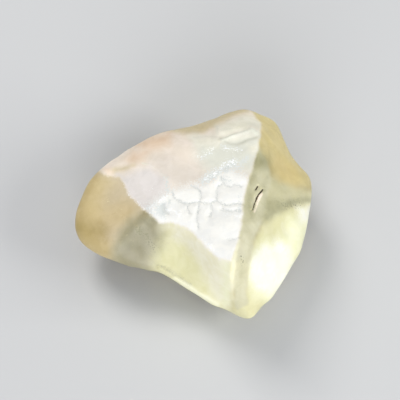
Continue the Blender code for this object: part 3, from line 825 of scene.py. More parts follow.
@dataclass
class SkinZones:
    """Patches of finish and of painted light and shade over the face.

    Attributes:
        patches: The patches. Each has its own stretch of the border noise, by its place here.
        wander: How far the noise moves a patch's border.
        wander_size: Width of the noise's lumps.
        stretch: Distance along the noise from one patch to the next.

    Every length is in millimetres.
    """

    patches: tuple[Patch, ...] = (
        Patch(Zone.HONEY, ((-25.0, -6.0), (-24.0, 4.0), (-19.0, 11.0), (-14.0, 9.0), (-11.0, 6.0),
                           (-9.0, 3.0), (-8.2, 1.4), (-11.0, -2.0), (-12.6, -3.6), (-13.6, -6.0),
                           (-14.2, -12.0), (-20.0, -10.0))),
        Patch(Zone.RUST, ((-18.5, -0.6), (-16.0, -1.0), (-12.5, 0.2)), 2.0),
        Patch(Zone.TAN, ((-26.0, 10.0), (-17.4, 8.2), (-15.6, 5.4), (-16.6, 1.0), (-17.2, -3.0),
                         (-14.6, -6.0), (-13.0, -11.0), (-26.0, -9.0))),
        Patch(Zone.UMBER, ((-22.6, -1.2), (-19.0, -1.0), (-16.0, -2.2), (-16.2, -4.4),
                           (-20.0, -4.8), (-23.0, -3.6))),
        Patch(Zone.SCOOP, ((-7.4, 0.4), (-3.0, -1.0), (0.6, -1.6), (4.0, -4.8), (7.0, -6.0),
                           (6.8, -16.6), (10.0, -22.0), (-2.0, -18.0), (-8.5, -14.0),
                           (-8.4, -8.0), (-8.0, -4.0))),
        # Painted shade below the frost; the next patch is its darkest heart.
        Patch(Zone.SHADE, ((-8.8, 0.2), (-7.6, 1.4), (-5.0, 0.4), (-5.0, -3.0), (-5.8, -5.0),
                           (-7.3, -8.0), (-7.4, -13.0), (-15.0, -12.0), (-14.0, -6.4),
                           (-12.7, -3.6), (-11.2, -1.4))),
        Patch(Zone.DEEP_SHADE, ((-11.2, -1.8), (-8.8, -1.2), (-7.2, -2.0), (-7.4, -4.0), (-9.4, -8.0),
                          (-9.8, -13.0), (-14.6, -12.0), (-13.8, -6.4), (-12.8, -3.6))),
        Patch(Zone.CREAM, ((-5.6, -2.2), (-2.6, -2.6), (0.0, -4.0)), 0.5),
        Patch(Zone.CREAM, ((-4.4, -0.4), (-2.7, -0.4), (1.0, -1.0), (3.4, -3.8), (5.6, -6.0),
                           (7.2, -7.0), (7.2, -13.5), (6.8, -16.6), (4.6, -16.2), (2.6, -12.6),
                           (0.4, -8.0), (-1.8, -5.6), (-4.0, -4.2))),
        # Painted highlight along the bead of the lower lip.
        Patch(Zone.LIP_HIGHLIGHT, ((-3.2, -11.8), (-2.3, -12.2), (-0.5, -13.5), (1.3, -14.7), (3.4, -15.9),
                         (4.6, -16.4)), 0.45),
        Patch(Zone.HAZE, ((11.0, 9.0), (14.4, 7.0), (18.0, 5.6), (21.0, 4.8), (26.0, 5.0),
                          (26.0, 0.5), (17.0, -0.5), (12.4, -3.0), (10.5, 2.0))),
        Patch(Zone.GOLD, ((11.0, 11.8), (11.2, 16.6), (10.2, 18.8), (13.0, 22.0), (20.0, 17.5),
                          (25.5, 9.0), (25.0, 4.6), (19.0, 4.8), (16.0, 5.8), (14.6, 7.0),
                          (13.6, 8.9))),
        Patch(Zone.AMBER, ((15.4, 10.8), (17.8, 9.0), (19.4, 7.2), (18.8, 5.6), (16.0, 6.4),
                           (14.6, 8.8))),
        # Painted shade: thin dark line above the lip's bead.
        Patch(Zone.SHADED_LINE, ((-6.4, -9.3), (-4.4, -10.3), (-2.4, -11.5), (-0.6, -12.7)), 0.1, 0.3),
        # Pale facet, lightened as painted glow of light shining through the stone.
        Patch(Zone.GLOW, ((25.0, 2.0), (21.0, 2.1), (18.0, 1.2), (15.4, 0.0), (13.0, -1.4),
                          (11.0, -4.6), (10.2, -7.0), (9.6, -11.0), (9.4, -15.0), (12.0, -21.0),
                          (20.0, -15.0), (25.0, -5.0))),
        # Painted shade: dark line along the edge across the right facets.
        Patch(Zone.SHADED_LINE, ((25.0, 3.4), (20.8, 2.9), (17.6, 2.6), (15.2, 2.2), (13.6, 0.6),
                          (12.6, -1.6), (14.4, -0.6), (17.0, 1.0), (20.8, 1.9), (25.0, 2.2))),
        # Painted glow and highlight where light comes through the clear facets.
        Patch(Zone.FLASH, ((6.0, -8.8), (6.2, -12.0), (6.0, -16.0)), 0.5, 0.2),
        Patch(Zone.FLASH, ((17.8, -0.8), (24.0, 1.0), (24.0, -2.0), (20.4, -5.6), (18.6, -9.3),
                           (16.0, -8.4), (15.8, -4.7), (16.9, -2.0))),
        Patch(Zone.FLASH, ((9.8, -9.4), (10.4, -12.4), (11.6, -15.4), (14.6, -16.4), (18.6, -12.0),
                           (17.6, -7.6), (13.6, -4.6), (11.4, -6.6))),
        # Painted glow: white cores of the bright parts.
        Patch(Zone.GLEAM, ((10.3, -9.0), (11.2, -7.4), (12.6, -5.8), (14.0, -6.0), (15.2, -4.7),
                           (17.2, -5.8), (18.1, -8.7), (17.2, -12.4), (14.2, -14.4), (11.8, -13.6),
                           (10.2, -11.8))),
        Patch(Zone.GLEAM, ((18.8, 1.3), (24.0, 1.7), (24.0, -1.6), (19.8, -1.2))),
        Patch(Zone.TIP, ((7.4, -15.6), (9.6, -16.0), (12.4, -15.4), (13.6, -18.0), (13.0, -22.0),
                         (6.0, -22.0))),
        Patch(Zone.STRIP, ((11.6, 12.4), (13.5, 9.6), (14.0, 6.4), (13.6, 2.0), (12.4, -1.8),
                           (11.3, -4.4), (10.6, -7.0), (10.2, -9.0), (9.9, -12.9), (9.8, -16.5),
                           (8.0, -17.4), (7.5, -16.0), (7.2, -12.0), (7.0, -8.4), (7.0, -5.6),
                           (7.8, -2.0), (8.0, 1.8), (8.6, 4.7), (9.6, 7.2), (10.2, 9.7))),
        Patch(Zone.OLIVE, ((11.4, 12.4), (13.2, 10.6), (13.7, 9.4), (12.8, 8.0), (11.6, 7.6),
                           (9.6, 7.6), (9.8, 10.0))),
        Patch(Zone.OLIVE, ((12.9, 3.8), (14.4, 3.2), (15.6, 2.4), (17.6, 1.4), (17.4, 0.4),
                           (15.0, -0.4), (13.2, -1.6), (12.0, -0.6), (12.4, 2.0)), 0.0, 0.5),
        Patch(Zone.OLIVE, ((10.8, 7.0), (10.3, 4.7), (10.2, 2.0), (10.6, -0.8)), 0.3, 0.2),
        Patch(Zone.OLIVE, ((13.4, 6.6), (12.8, 4.6)), 0.1, 0.3),
        Patch(Zone.OLIVE, ((11.2, 1.6), (11.4, -0.6)), 0.1, 0.6),
        Patch(Zone.OLIVE, ((9.0, -9.6), (8.7, -12.0), (8.5, -15.4)), 0.1, 0.7),
        # Painted highlight on the lit rim beside the slit.
        Patch(Zone.RIM_HIGHLIGHT, ((12.5, 3.7), (12.1, 3.0), (11.75, 2.2), (11.45, 1.2), (11.15, 0.5)),
              0.15),
        Patch(Zone.SPECK, ((8.6, -7.4), (9.0, -8.8)), 0.3, 0.62),
        Patch(Zone.SPECK, ((-10.0, -2.8), (-8.4, -4.2), (-7.4, -5.8)), 0.8, 0.85),
        Patch(Zone.FLECK, ((-15.6, 2.6), (-13.4, 0.4), (-12.6, -1.0)), 2.0, 2.8),
        Patch(Zone.FLECK, ((-12.0, -4.0), (-10.6, -6.0)), 1.8, 2.6),
        Patch(Zone.FLECK, ((-8.6, -6.4), (-5.0, -5.0), (-1.4, -7.6)), 1.6, 2.5),
        Patch(Zone.SPECK, ((16.4, 1.4), (19.4, 1.6)), 0.3, 0.5),
        Patch(Zone.BLUSH, ((-17.6, 8.4), (-13.6, 11.4), (-8.0, 14.4), (-3.0, 15.6), (5.0, 18.0),
                           (9.8, 19.6), (12.3, 16.6), (12.0, 12.0), (11.1, 9.7), (10.45, 7.2),
                           (9.6, 4.7), (9.0, 1.8), (8.85, -2.0), (8.3, -4.7), (7.4, -6.9),
                           (7.0, -8.6), (4.8, -8.2), (2.3, -6.0), (0.2, -3.3), (-2.6, -1.7),
                           (-6.2, -1.6), (-7.6, -0.2), (-9.2, 1.1), (-10.4, 2.3), (-11.8, 3.8),
                           (-12.5, 5.6), (-13.4, 6.7), (-15.4, 6.8))),
        Patch(Zone.PEACH, ((-11.0, 12.6), (-8.6, 14.2), (-4.0, 15.0), (-4.4, 12.6), (-7.6, 11.4))),
        Patch(Zone.SAND, ((-7.8, 10.2), (-4.6, 10.0), (-1.0, 9.2), (2.6, 8.4), (4.4, 6.6),
                          (1.8, 4.8), (-2.0, 4.4), (-4.6, 5.4), (-6.3, 7.6))),
        Patch(Zone.PEACH, ((-14.0, 9.4), (-11.6, 12.2), (-8.0, 13.0), (-6.4, 11.2), (-8.6, 8.7),
                           (-11.0, 7.9)), 0.0, 1.2),
        Patch(Zone.BEVEL, ((-4.4, 15.6), (-2.0, 14.6), (2.0, 14.8), (4.2, 15.9), (7.0, 17.5),
                           (10.2, 18.6), (9.9, 22.0), (0.0, 20.0))),
        Patch(Zone.BEVEL, ((-15.0, 7.8), (-13.2, 8.0), (-10.8, 8.9)), 0.7, 0.5),
        Patch(Zone.PLATE, ((-13.6, 7.1), (-11.0, 7.5), (-9.4, 8.4), (-7.8, 8.7), (-6.2, 7.5),
                           (-4.7, 6.2), (-4.4, 4.2), (-6.0, 1.4), (-8.6, -1.0), (-12.0, 1.8),
                           (-13.7, 4.2))),
        Patch(Zone.UPPER, ((0.2, 13.9), (4.6, 14.0), (7.5, 14.5), (10.6, 15.6), (14.1, 14.8),
                           (14.0, 12.0), (13.1, 9.7), (10.4, 7.0), (8.0, 8.4), (5.0, 7.6),
                           (2.6, 8.0), (0.4, 10.4))),
        Patch(Zone.CHIP, ((4.2, 16.0), (7.1, 17.2), (10.0, 18.0), (14.4, 16.6), (14.2, 15.6),
                          (10.6, 15.8), (9.9, 15.3), (7.2, 14.5), (6.0, 13.9), (4.7, 13.9))),
        Patch(Zone.CHIP, ((5.6, 13.2), (7.2, 13.9), (9.9, 14.7), (11.8, 14.4), (12.0, 13.5),
                          (10.0, 13.8), (8.0, 13.1), (6.6, 13.0)), 0.0, 0.3),
        Patch(Zone.CHIP, ((9.4, 12.9), (12.4, 13.6), (12.6, 11.2), (10.8, 10.2), (9.6, 11.4)),
              0.0, 0.6),
        Patch(Zone.CHIP, ((-0.8, 14.0), (3.0, 14.1), (5.2, 13.3), (4.6, 12.4), (0.8, 12.4))),
        Patch(Zone.CREASE, ((2.0, 9.6), (4.6, 9.9), (7.4, 9.0)), 0.9, 0.9),
        Patch(Zone.CREASE, ((5.5, 13.4), (6.6, 12.7), (7.8, 12.5), (9.0, 12.9), (10.2, 13.4),
                            (11.6, 13.9)), 0.20),
        Patch(Zone.CREASE, ((4.4, 15.8), (4.5, 14.6)), 0.1, 0.2),
        Patch(Zone.CREASE, ((8.8, 9.0), (9.8, 10.2), (10.5, 11.4)), 0.9, 0.9),
        Patch(Zone.CREASE, ((5.0, 15.2), (7.0, 15.6)), 0.9, 0.9),
        Patch(Zone.CREASE, ((9.8, 16.5), (11.0, 16.3), (11.9, 15.8)), 0.1, 0.1),
        # Painted shade in the hollows between the crystals and in dips of the crust.
        Patch(Zone.HOLLOW_SHADE, ((2.2, 6.2), (4.0, 7.4), (5.6, 8.3), (7.2, 9.2)), 1.1, 0.4),
        Patch(Zone.HOLLOW_SHADE, ((1.6, 10.2), (3.4, 11.3)), 0.4, 0.5),
        Patch(Zone.HOLLOW_SHADE, ((-4.9, 6.4), (-4.3, 2.2)), 0.5, 0.4),
        Patch(Zone.HOLLOW_SHADE, ((-7.6, 1.4), (-5.8, 2.8), (-4.4, 3.8)), 0.9, 0.9),
        Patch(Zone.HOLLOW_SHADE, ((5.4, 6.4), (6.6, 6.1)), 0.4, 0.3),
        Patch(Zone.HOLLOW_SHADE, ((8.5, 3.2), (8.4, 0.6)), 0.3, 0.3),
        Patch(Zone.HOLLOW_SHADE, ((8.0, 8.2), (9.9, 10.4)), 0.5, 0.3),
        Patch(Zone.HOLLOW_SHADE, ((-8.2, 1.0), (-7.4, 0.2)), 0.3, 0.1),
        Patch(Zone.HOLLOW_SHADE, ((5.2, 12.4), (8.6, 11.9)), 0.4, 0.5),
        Patch(Zone.HOLLOW_SHADE, ((-7.0, 1.9), (-5.4, 2.2), (-4.6, 1.1), (-5.1, -0.4), (-6.3, -0.6),
                            (-7.3, 0.7))),
        # Painted highlight on the crests of the ledges.
        Patch(Zone.CREST_HIGHLIGHT, ((5.4, 13.45), (6.1, 13.65), (7.3, 14.2), (8.5, 14.55), (9.9, 15.05),
                          (10.6, 15.4), (11.6, 14.7)), 0.20),
        Patch(Zone.CREST_HIGHLIGHT, ((-9.2, 9.2), (-7.8, 8.9), (-6.5, 8.0), (-4.6, 6.2)), 0.1, 0.25),
        # Painted highlight on the bump at the left corner.
        Patch(Zone.CORNER_HIGHLIGHT, ((-17.0, 8.4), (-15.2, 9.0), (-14.0, 7.8), (-14.6, 6.6), (-15.8, 6.6)),
              0.0, 0.5),
        Patch(Zone.CRUST, ((-7.8, 1.6), (-6.0, 3.4), (-4.6, 4.0), (-3.6, 4.4), (-2.0, 5.1),
                           (-0.2, 5.5), (1.6, 5.4), (3.4, 5.8), (4.4, 7.2), (6.4, 8.4),
                           (8.2, 7.6), (10.3, 6.8), (12.4, 6.0), (12.0, -2.0), (10.0, -11.0),
                           (3.0, -10.0), (-1.0, -5.0), (-6.0, -3.6), (-8.6, -1.2))),
        # White frost crystals, painted brighter as their glints.
        Patch(Zone.SUGAR, ((2.4, 6.4), (4.0, 7.6), (5.6, 8.6), (7.4, 9.6)), 0.4, 0.45),
        Patch(Zone.SUGAR, ((-7.8, 1.2), (-5.8, 2.6), (-4.2, 3.6)), 0.9, 1.0),
        Patch(Zone.SUGAR, ((-4.2, 0.6), (-2.6, 0.2)), 0.5, 0.5),
        Patch(Zone.SUGAR, ((-7.8, 0.2), (-6.2, 2.0), (-4.8, 2.8)), 1.0, 1.25),
        Patch(Zone.SUGAR, ((-10.8, 5.0), (-8.0, 4.0), (-6.6, 6.0)), 1.2, 1.95),
        Patch(Zone.SUGAR, ((1.4, 10.5), (3.6, 11.7)), 0.3, 0.55),
        Patch(Zone.SUGAR, ((5.4, 12.1), (8.6, 11.6)), 0.3, 0.55),
        Patch(Zone.SUGAR, ((6.2, 0.0), (8.6, -0.4)), 0.4, 0.6),
        Patch(Zone.SUGAR, ((2.0, -4.6), (3.6, -6.4)), 0.4, 0.6),
        Patch(Zone.SUGAR, ((-13.0, 5.0), (-11.0, 2.4), (-8.6, 0.4)), 0.4, 0.6),
        # Painted highlight along the lower ridge.
        Patch(Zone.RIDGE_HIGHLIGHT, ((8.5, -4.7), (7.8, -6.9), (7.4, -9.0), (7.2, -12.0), (7.2, -15.2)),
              0.22),
    )
    wander: float = 0.18
    wander_size: float = 1.6
    stretch: float = 11.0

    def reach(self, x: Array, y: Array) -> dict[Zone, Array]:
        """Distance in from each zone's edge, with the edges a little ragged.

        Args:
            x: Face-frame x of the points.
            y: Face-frame y of the points.

        Returns:
            Zone to distance in millimetres, negative outside the zone.
        """
        drift = Grain(Seed.BORDERS)
        found: dict[Zone, Array] = {}
        for k, patch in enumerate(self.patches):
            shift = drift.layered(x + self.stretch * k, y, self.wander_size) * self.wander
            edge = patch.reach(x, y) + shift
            found[patch.zone] = np.maximum(edge, found.get(patch.zone, edge))
        return found


def srgb(code: str) -> tuple[float, float, float, float]:
    """Linear colour of an sRGB hex code.

    Args:
        code: Six hex digits.

    Returns:
        Red, green, blue and an alpha of one.
    """
    parts = [int(code[i:i + 2], 16) / 255.0 for i in (0, 2, 4)]
    linear = [p / 12.92 if p <= 0.04045 else ((p + 0.055) / 1.055) ** 2.4 for p in parts]
    return (linear[0], linear[1], linear[2], 1.0)


def add_node(tree: bpy.types.NodeTree, kind: str, settings: dict[str, Any] | None = None,
             inputs: dict[Any, Any] | None = None) -> bpy.types.Node:
    """Adds a node with its settings, values and links.

    Args:
        tree: The node tree it goes in.
        kind: The node's Blender type name.
        settings: Attributes of the node.
        inputs: Input name or number to a value, or to an output socket to link.

    Returns:
        The new node.
    """
    node = tree.nodes.new(kind)
    for name, value in (settings or {}).items():
        setattr(node, name, value)
    for name, value in (inputs or {}).items():
        if isinstance(value, bpy.types.NodeSocket):
            tree.links.new(value, node.inputs[name])
        else:
            node.inputs[name].default_value = value
    return node


@dataclass(frozen=True)
class Coat:
    """Finish of one zone; for some zones it is painted light and shade.

    Attributes:
        colour: Its colour where the mottling is light.
        other: Its colour where the mottling is dark.
        clarity: Share of the light that passes into the glass.
        rough: Roughness of its surface.
        feather: Width of its soft edge in millimetres.
        ragged: How far fine grain moves that edge, in millimetres.
    """

    colour: str
    other: str
    clarity: float
    rough: float
    feather: float
    ragged: float


@dataclass
class Skin:
    """What the coats leave on the surface, each a value or a socket.

    Attributes:
        colour: Base colour.
        clear: Share of the light that passes into the glass.
        rough: Roughness of the surface.
    """

    colour: Any
    clear: Any
    rough: Any


@dataclass(frozen=True)
class WindPolishedSilicaGlass:
    """Natural silica glass, quenched from melted sand and polished dull by blown sand.

    The eye sees a soft satin skin with no sharp mirror, pale straw depths that turn to
    honey where the glass is thick, and one broken face grown over with white sugar frost.

    Attributes:
        straw: Bare glass where the mottling is light.
        honey: Bare glass where the mottling is dark.
        worn: Scuffed edges on the back.
        worn_share: How strongly the scuffed edges show.
        depth_tint: Colour that is left over after a long way through the glass.
        depth_density: Strength of that absorption, per metre.
        ior: Index of refraction of silica glass.
        satin: Roughness of the bare glass.
        clarity: Share of the light that passes into the bare glass.
        mottle_size: Width of the slow changes in the bare glass, in millimetres.
        mottle_range: Noise values between which the bare glass turns from straw to honey.
        cloud_size: Width of the clouds within a coat, in millimetres.
        cloud_range: Noise values between which a coat turns from one tone to the other.
        satin_grain: Spacing of the sandblasted pits, in millimetres. Real ones are finer
            than the picture shows, so they are drawn as coarse as they need to be seen.
        satin_strength: Strength of those pits.
        satin_height: Their depth in millimetres.
        sugar_grain: Width of the frost's crystals, in millimetres.
        sugar_strength: Strength of the crystals.
        sugar_height: Their height in millimetres.
        coats: Each zone's finish and painted light, in the order that they are laid on.
    """

    straw: str = "E4DCAE"
    honey: str = "D6C390"
    worn: str = "F6F1DC"
    worn_share: float = 0.35
    depth_tint: tuple[float, float, float] = (0.965, 0.94, 0.66)
    depth_density: float = 24.0
    ior: float = 1.46
    satin: float = 0.42
    clarity: float = 0.80
    mottle_size: float = 6.0
    mottle_range: Point2 = (0.30, 0.70)
    cloud_size: float = 2.1
    cloud_range: Point2 = (0.35, 0.65)
    satin_grain: float = 0.30
    satin_strength: float = 0.22
    satin_height: float = 0.03
    sugar_grain: float = 0.50
    sugar_strength: float = 0.30
    sugar_height: float = 0.10
    coats: tuple[tuple[Zone, Coat], ...] = (
        (Zone.HONEY, Coat("D4C5A6", "CCBC9A", 0.18, 0.50, 1.2, 0.3)),
        (Zone.RUST, Coat("D3C096", "CBB78A", 0.18, 0.50, 4.0, 0.3)),
        (Zone.TAN, Coat("C5B282", "BEAA78", 0.15, 0.50, 4.0, 0.3)),
        (Zone.UMBER, Coat("B39F6C", "AB9763", 0.15, 0.50, 3.0, 0.4)),
        (Zone.SCOOP, Coat("FAF7CA", "F3F0BE", 0.34, 0.45, 2.6, 0.5)),
        # Painted shade below the frost; the next coat is its darkest heart.
        (Zone.SHADE, Coat("CBC7AA", "C0BC9E", 0.44, 0.45, 4.0, 0.6)),
        (Zone.DEEP_SHADE, Coat("B3AE91", "AAA587", 0.44, 0.45, 3.6, 0.6)),
        (Zone.CREAM, Coat("F8F5DE", "F1EDCF", 0.28, 0.50, 2.6, 0.4)),
        # Painted highlight along the bead of the lower lip.
        (Zone.LIP_HIGHLIGHT, Coat("FFFEE0", "FFFDD8", 0.18, 0.40, 0.7, 0.2)),
        (Zone.HAZE, Coat("E5E1BC", "DDD9B0", 0.40, 0.42, 2.6, 0.4)),
        (Zone.GOLD, Coat("F0E0A6", "E4D496", 0.42, 0.42, 2.8, 0.3)),
        (Zone.AMBER, Coat("F0DC9E", "E8D494", 0.40, 0.42, 2.6, 0.3)),
        # Painted shade: dark lines across the right and above the lip.
        (Zone.SHADED_LINE, Coat("C6C6A2", "B6B692", 0.48, 0.42, 1.8, 0.9)),
        # Pale facet, lightened as painted glow of light shining through the stone.
        (Zone.GLOW, Coat("EFECC2", "E8E5B4", 0.35, 0.45, 2.0, 0.5)),
        # Painted glow and highlight, then the white cores of the glow.
        (Zone.FLASH, Coat("FAFBDC", "F6F8D2", 0.30, 0.45, 3.6, 0.6)),
        (Zone.GLEAM, Coat("FFFFF5", "FFFFEC", 0.28, 0.45, 2.2, 0.8)),
        (Zone.TIP, Coat("F6F3C8", "EFEBBC", 0.42, 0.42, 2.4, 0.3)),
        (Zone.STRIP, Coat("E9E6C8", "DFDCBA", 0.40, 0.45, 0.8, 0.2)),
        (Zone.OLIVE, Coat("C2C098", "B6B48C", 0.48, 0.42, 3.0, 0.4)),
        # Painted highlight on the lit rim beside the slit.
        (Zone.RIM_HIGHLIGHT, Coat("FBEDDC", "F8E7D3", 0.10, 0.45, 0.35, 0.3)),
        (Zone.SPECK, Coat("A8A583", "9C9977", 0.30, 0.50, 0.6, 3.0)),
        (Zone.FLECK, Coat("EEE6C6", "E6DDB8", 0.20, 0.45, 0.7, 3.4)),
        (Zone.BLUSH, Coat("EEE2D6", "E6DACB", 0.12, 0.50, 0.9, 0.4)),
        (Zone.PEACH, Coat("E3CBB3", "DDC3A8", 0.12, 0.50, 3.0, 0.3)),
        (Zone.SAND, Coat("DCD3C8", "D5CBBF", 0.12, 0.50, 4.0, 0.4)),
        (Zone.BEVEL, Coat("E0D0AB", "D6C69F", 0.36, 0.45, 1.6, 0.2)),
        (Zone.PLATE, Coat("E0DAD7", "D8D2CE", 0.12, 0.50, 2.2, 0.5)),
        (Zone.UPPER, Coat("DADBCF", "D2D3C7", 0.12, 0.50, 3.6, 0.6)),
        (Zone.CHIP, Coat("ECE9DA", "E2DFCD", 0.15, 0.45, 2.0, 0.3)),
        (Zone.CREASE, Coat("CFCFC0", "D8D8CC", 0.15, 0.50, 1.0, 0.4)),
        # Painted highlight on the crests of the ledges.
        (Zone.CREST_HIGHLIGHT, Coat("F2F3E8", "EDEFE1", 0.10, 0.45, 0.9, 0.3)),
        # Painted highlight on the bump at the left corner.
        (Zone.CORNER_HIGHLIGHT, Coat("F6E4D2", "F0DAC4", 0.10, 0.45, 1.4, 0.4)),
        (Zone.CRUST, Coat("F2F1EC", "ECECE9", 0.08, 0.62, 2.2, 1.6)),
        # Painted shade in the hollows between the crystals and in dips of the crust.
        (Zone.HOLLOW_SHADE, Coat("D2D8D6", "DDE1E0", 0.12, 0.60, 1.2, 1.6)),
        # White frost crystals, painted brighter as their glints.
        (Zone.SUGAR, Coat("FCFCFA", "F1F3F4", 0.05, 0.60, 0.8, 2.6)),
        # Painted highlight along the lower ridge.
        (Zone.RIDGE_HIGHLIGHT, Coat("F8F5D8", "F4F0CE", 0.25, 0.40, 0.8, 0.2)),
        (Zone.GROOVE, Coat("D3D6D4", "DFE1DE", 0.12, 0.60, 0.34, 0.6)),
        (Zone.SLIT, Coat("46331D", "2E200D", 0.0, 0.60, 0.14, 0.05)),
    )

    def mask(self, tree: bpy.types.NodeTree, zone: Zone, coat: Coat,
             jitter: bpy.types.NodeSocket) -> bpy.types.NodeSocket:
        """Turns a zone's stored distance into the cover of its coat.

        Args:
            tree: The node tree.
            zone: The zone.
            coat: Its finish.
            jitter: Fine noise about zero that roughens the edge.

        Returns:
            One where the coat covers the stone and zero where it doesn't.
        """
        reach = add_node(tree, "ShaderNodeAttribute", {"attribute_name": zone.value})
        edge = add_node(tree, "ShaderNodeMath", {"operation": "MULTIPLY_ADD"},
                        {0: jitter, 1: coat.ragged * 2.0, 2: reach.outputs["Fac"]})
        half = coat.feather / 2
        return add_node(tree, "ShaderNodeMapRange", {"interpolation_type": "SMOOTHSTEP"},
                        {0: edge.outputs[0], 1: -half, 2: half}).outputs[0]

    def coated(self, tree: bpy.types.NodeTree, place: bpy.types.NodeSocket,
               grain: bpy.types.NodeSocket) -> tuple[Skin, bpy.types.NodeSocket]:
        """Lays the coats over the bare glass, lowest first.

        Args:
            tree: The node tree.
            place: Place on the stone.
            grain: Fine noise of the sandblasted pits.

        Returns:
            The coated skin, and the cover of the crust.
        """
        mottle = add_node(tree, "ShaderNodeTexNoise", {},
                          {"Vector": place, "Scale": 1.0 / (self.mottle_size * MM),
                           "Detail": 3.0, "Roughness": 0.55})
        cloud = add_node(tree, "ShaderNodeTexNoise", {},
                         {"Vector": place, "Scale": 1.0 / (self.cloud_size * MM),
                          "Detail": 4.0, "Roughness": 0.6, "Distortion": 0.6})
        thick = add_node(tree, "ShaderNodeMapRange", {"interpolation_type": "SMOOTHSTEP"},
                         {0: mottle.outputs[0], 1: self.mottle_range[0],
                          2: self.mottle_range[1]}).outputs[0]
        patchy = add_node(tree, "ShaderNodeMapRange", {"interpolation_type": "SMOOTHSTEP"},
                          {0: cloud.outputs[0], 1: self.cloud_range[0],
                           2: self.cloud_range[1]}).outputs[0]
        jitter = add_node(tree, "ShaderNodeMath", {"operation": "SUBTRACT"},
                          {0: grain, 1: 0.5}).outputs[0]
        bare = add_node(tree, "ShaderNodeMix", {"data_type": "RGBA"},
                        {0: thick, 6: srgb(self.straw), 7: srgb(self.honey)}).outputs[2]
        skin = Skin(bare, self.clarity, self.satin)
        cover: dict[Zone, bpy.types.NodeSocket] = {}
        for zone, coat in self.coats:
            mask = self.mask(tree, zone, coat, jitter)
            if zone in ON_FROST:
                mask = add_node(tree, "ShaderNodeMath", {"operation": "MULTIPLY"},
                                {0: mask, 1: cover[Zone.BLUSH]}).outputs[0]
            cover[zone] = mask
            tone = add_node(tree, "ShaderNodeMix", {"data_type": "RGBA"},
                            {0: patchy, 6: srgb(coat.colour), 7: srgb(coat.other)}).outputs[2]
            skin.colour = add_node(tree, "ShaderNodeMix", {"data_type": "RGBA"},
                                   {0: mask, 6: skin.colour, 7: tone}).outputs[2]
            skin.clear = add_node(tree, "ShaderNodeMix", {},
                                  {0: mask, 2: skin.clear, 3: coat.clarity}).outputs[0]
            skin.rough = add_node(tree, "ShaderNodeMix", {},
                                  {0: mask, 2: skin.rough, 3: coat.rough}).outputs[0]
        scuffs = add_node(tree, "ShaderNodeAttribute", {"attribute_name": WORN})
        scuffed = add_node(tree, "ShaderNodeMath", {"operation": "MULTIPLY"},
                           {0: scuffs.outputs["Fac"], 1: self.worn_share}).outputs[0]
        skin.colour = add_node(tree, "ShaderNodeMix", {"data_type": "RGBA"},
                               {0: scuffed, 6: skin.colour, 7: srgb(self.worn)}).outputs[2]
        return skin, cover[Zone.CRUST]

    def make(self) -> bpy.types.Material:
        """Builds the material.

        Returns:
            The material, with its skin and the tint of its depth.
        """
        material = bpy.data.materials.new("silica_glass_wind_polished")
        material.use_nodes = True
        tree = material.node_tree
        tree.nodes.clear()
        place = add_node(tree, "ShaderNodeTexCoord").outputs["Object"]
        grain = add_node(tree, "ShaderNodeTexNoise", {},
                         {"Vector": place, "Scale": 1.0 / (self.satin_grain * MM),
                          "Detail": 2.0, "Roughness": 0.6}).outputs[0]
        skin, crust = self.coated(tree, place, grain)
        sugar = add_node(tree, "ShaderNodeTexVoronoi", {"feature": "F1"},
                         {"Vector": place, "Scale": 1.0 / (self.sugar_grain * MM)})
        crystals = add_node(tree, "ShaderNodeMath", {"operation": "MULTIPLY"},
                            {0: sugar.outputs["Distance"], 1: crust})
        pitted = add_node(tree, "ShaderNodeBump", {},
                          {"Strength": self.satin_strength, "Distance": self.satin_height * MM,
                           "Height": grain})
        frosted = add_node(tree, "ShaderNodeBump", {},
                           {"Strength": self.sugar_strength, "Distance": self.sugar_height * MM,
                            "Height": crystals.outputs[0], "Normal": pitted.outputs[0]})
        surface = add_node(tree, "ShaderNodeBsdfPrincipled", {},
                           {"Base Color": skin.colour, "Roughness": skin.rough,
                            "IOR": self.ior, "Transmission Weight": skin.clear,
                            "Normal": frosted.outputs[0]})
        depth = add_node(tree, "ShaderNodeVolumeAbsorption", {},
                         {"Color": (*self.depth_tint, 1.0), "Density": self.depth_density})
        add_node(tree, "ShaderNodeOutputMaterial", {},
                 {"Surface": surface.outputs[0], "Volume": depth.outputs[0]})
        return material


@dataclass(frozen=True)
class Ripple:
    """A straight wave through the stone.

    Attributes:
        lengths: Wavelength along x, y and z in millimetres. It is infinite along an axis
            that the wave doesn't run along, and negative where the wave runs back.
        phase: Where the wave stands at the frame's origin, in radians.
    """

    lengths: Point3
    phase: float

    def at(self, x: Array, y: Array, z: Array) -> Array:
        """Height of the wave at points, between -1 and 1."""
        run = x / self.lengths[0] + y / self.lengths[1] + z / self.lengths[2]
        return np.sin(FULL_TURN * run + self.phase)


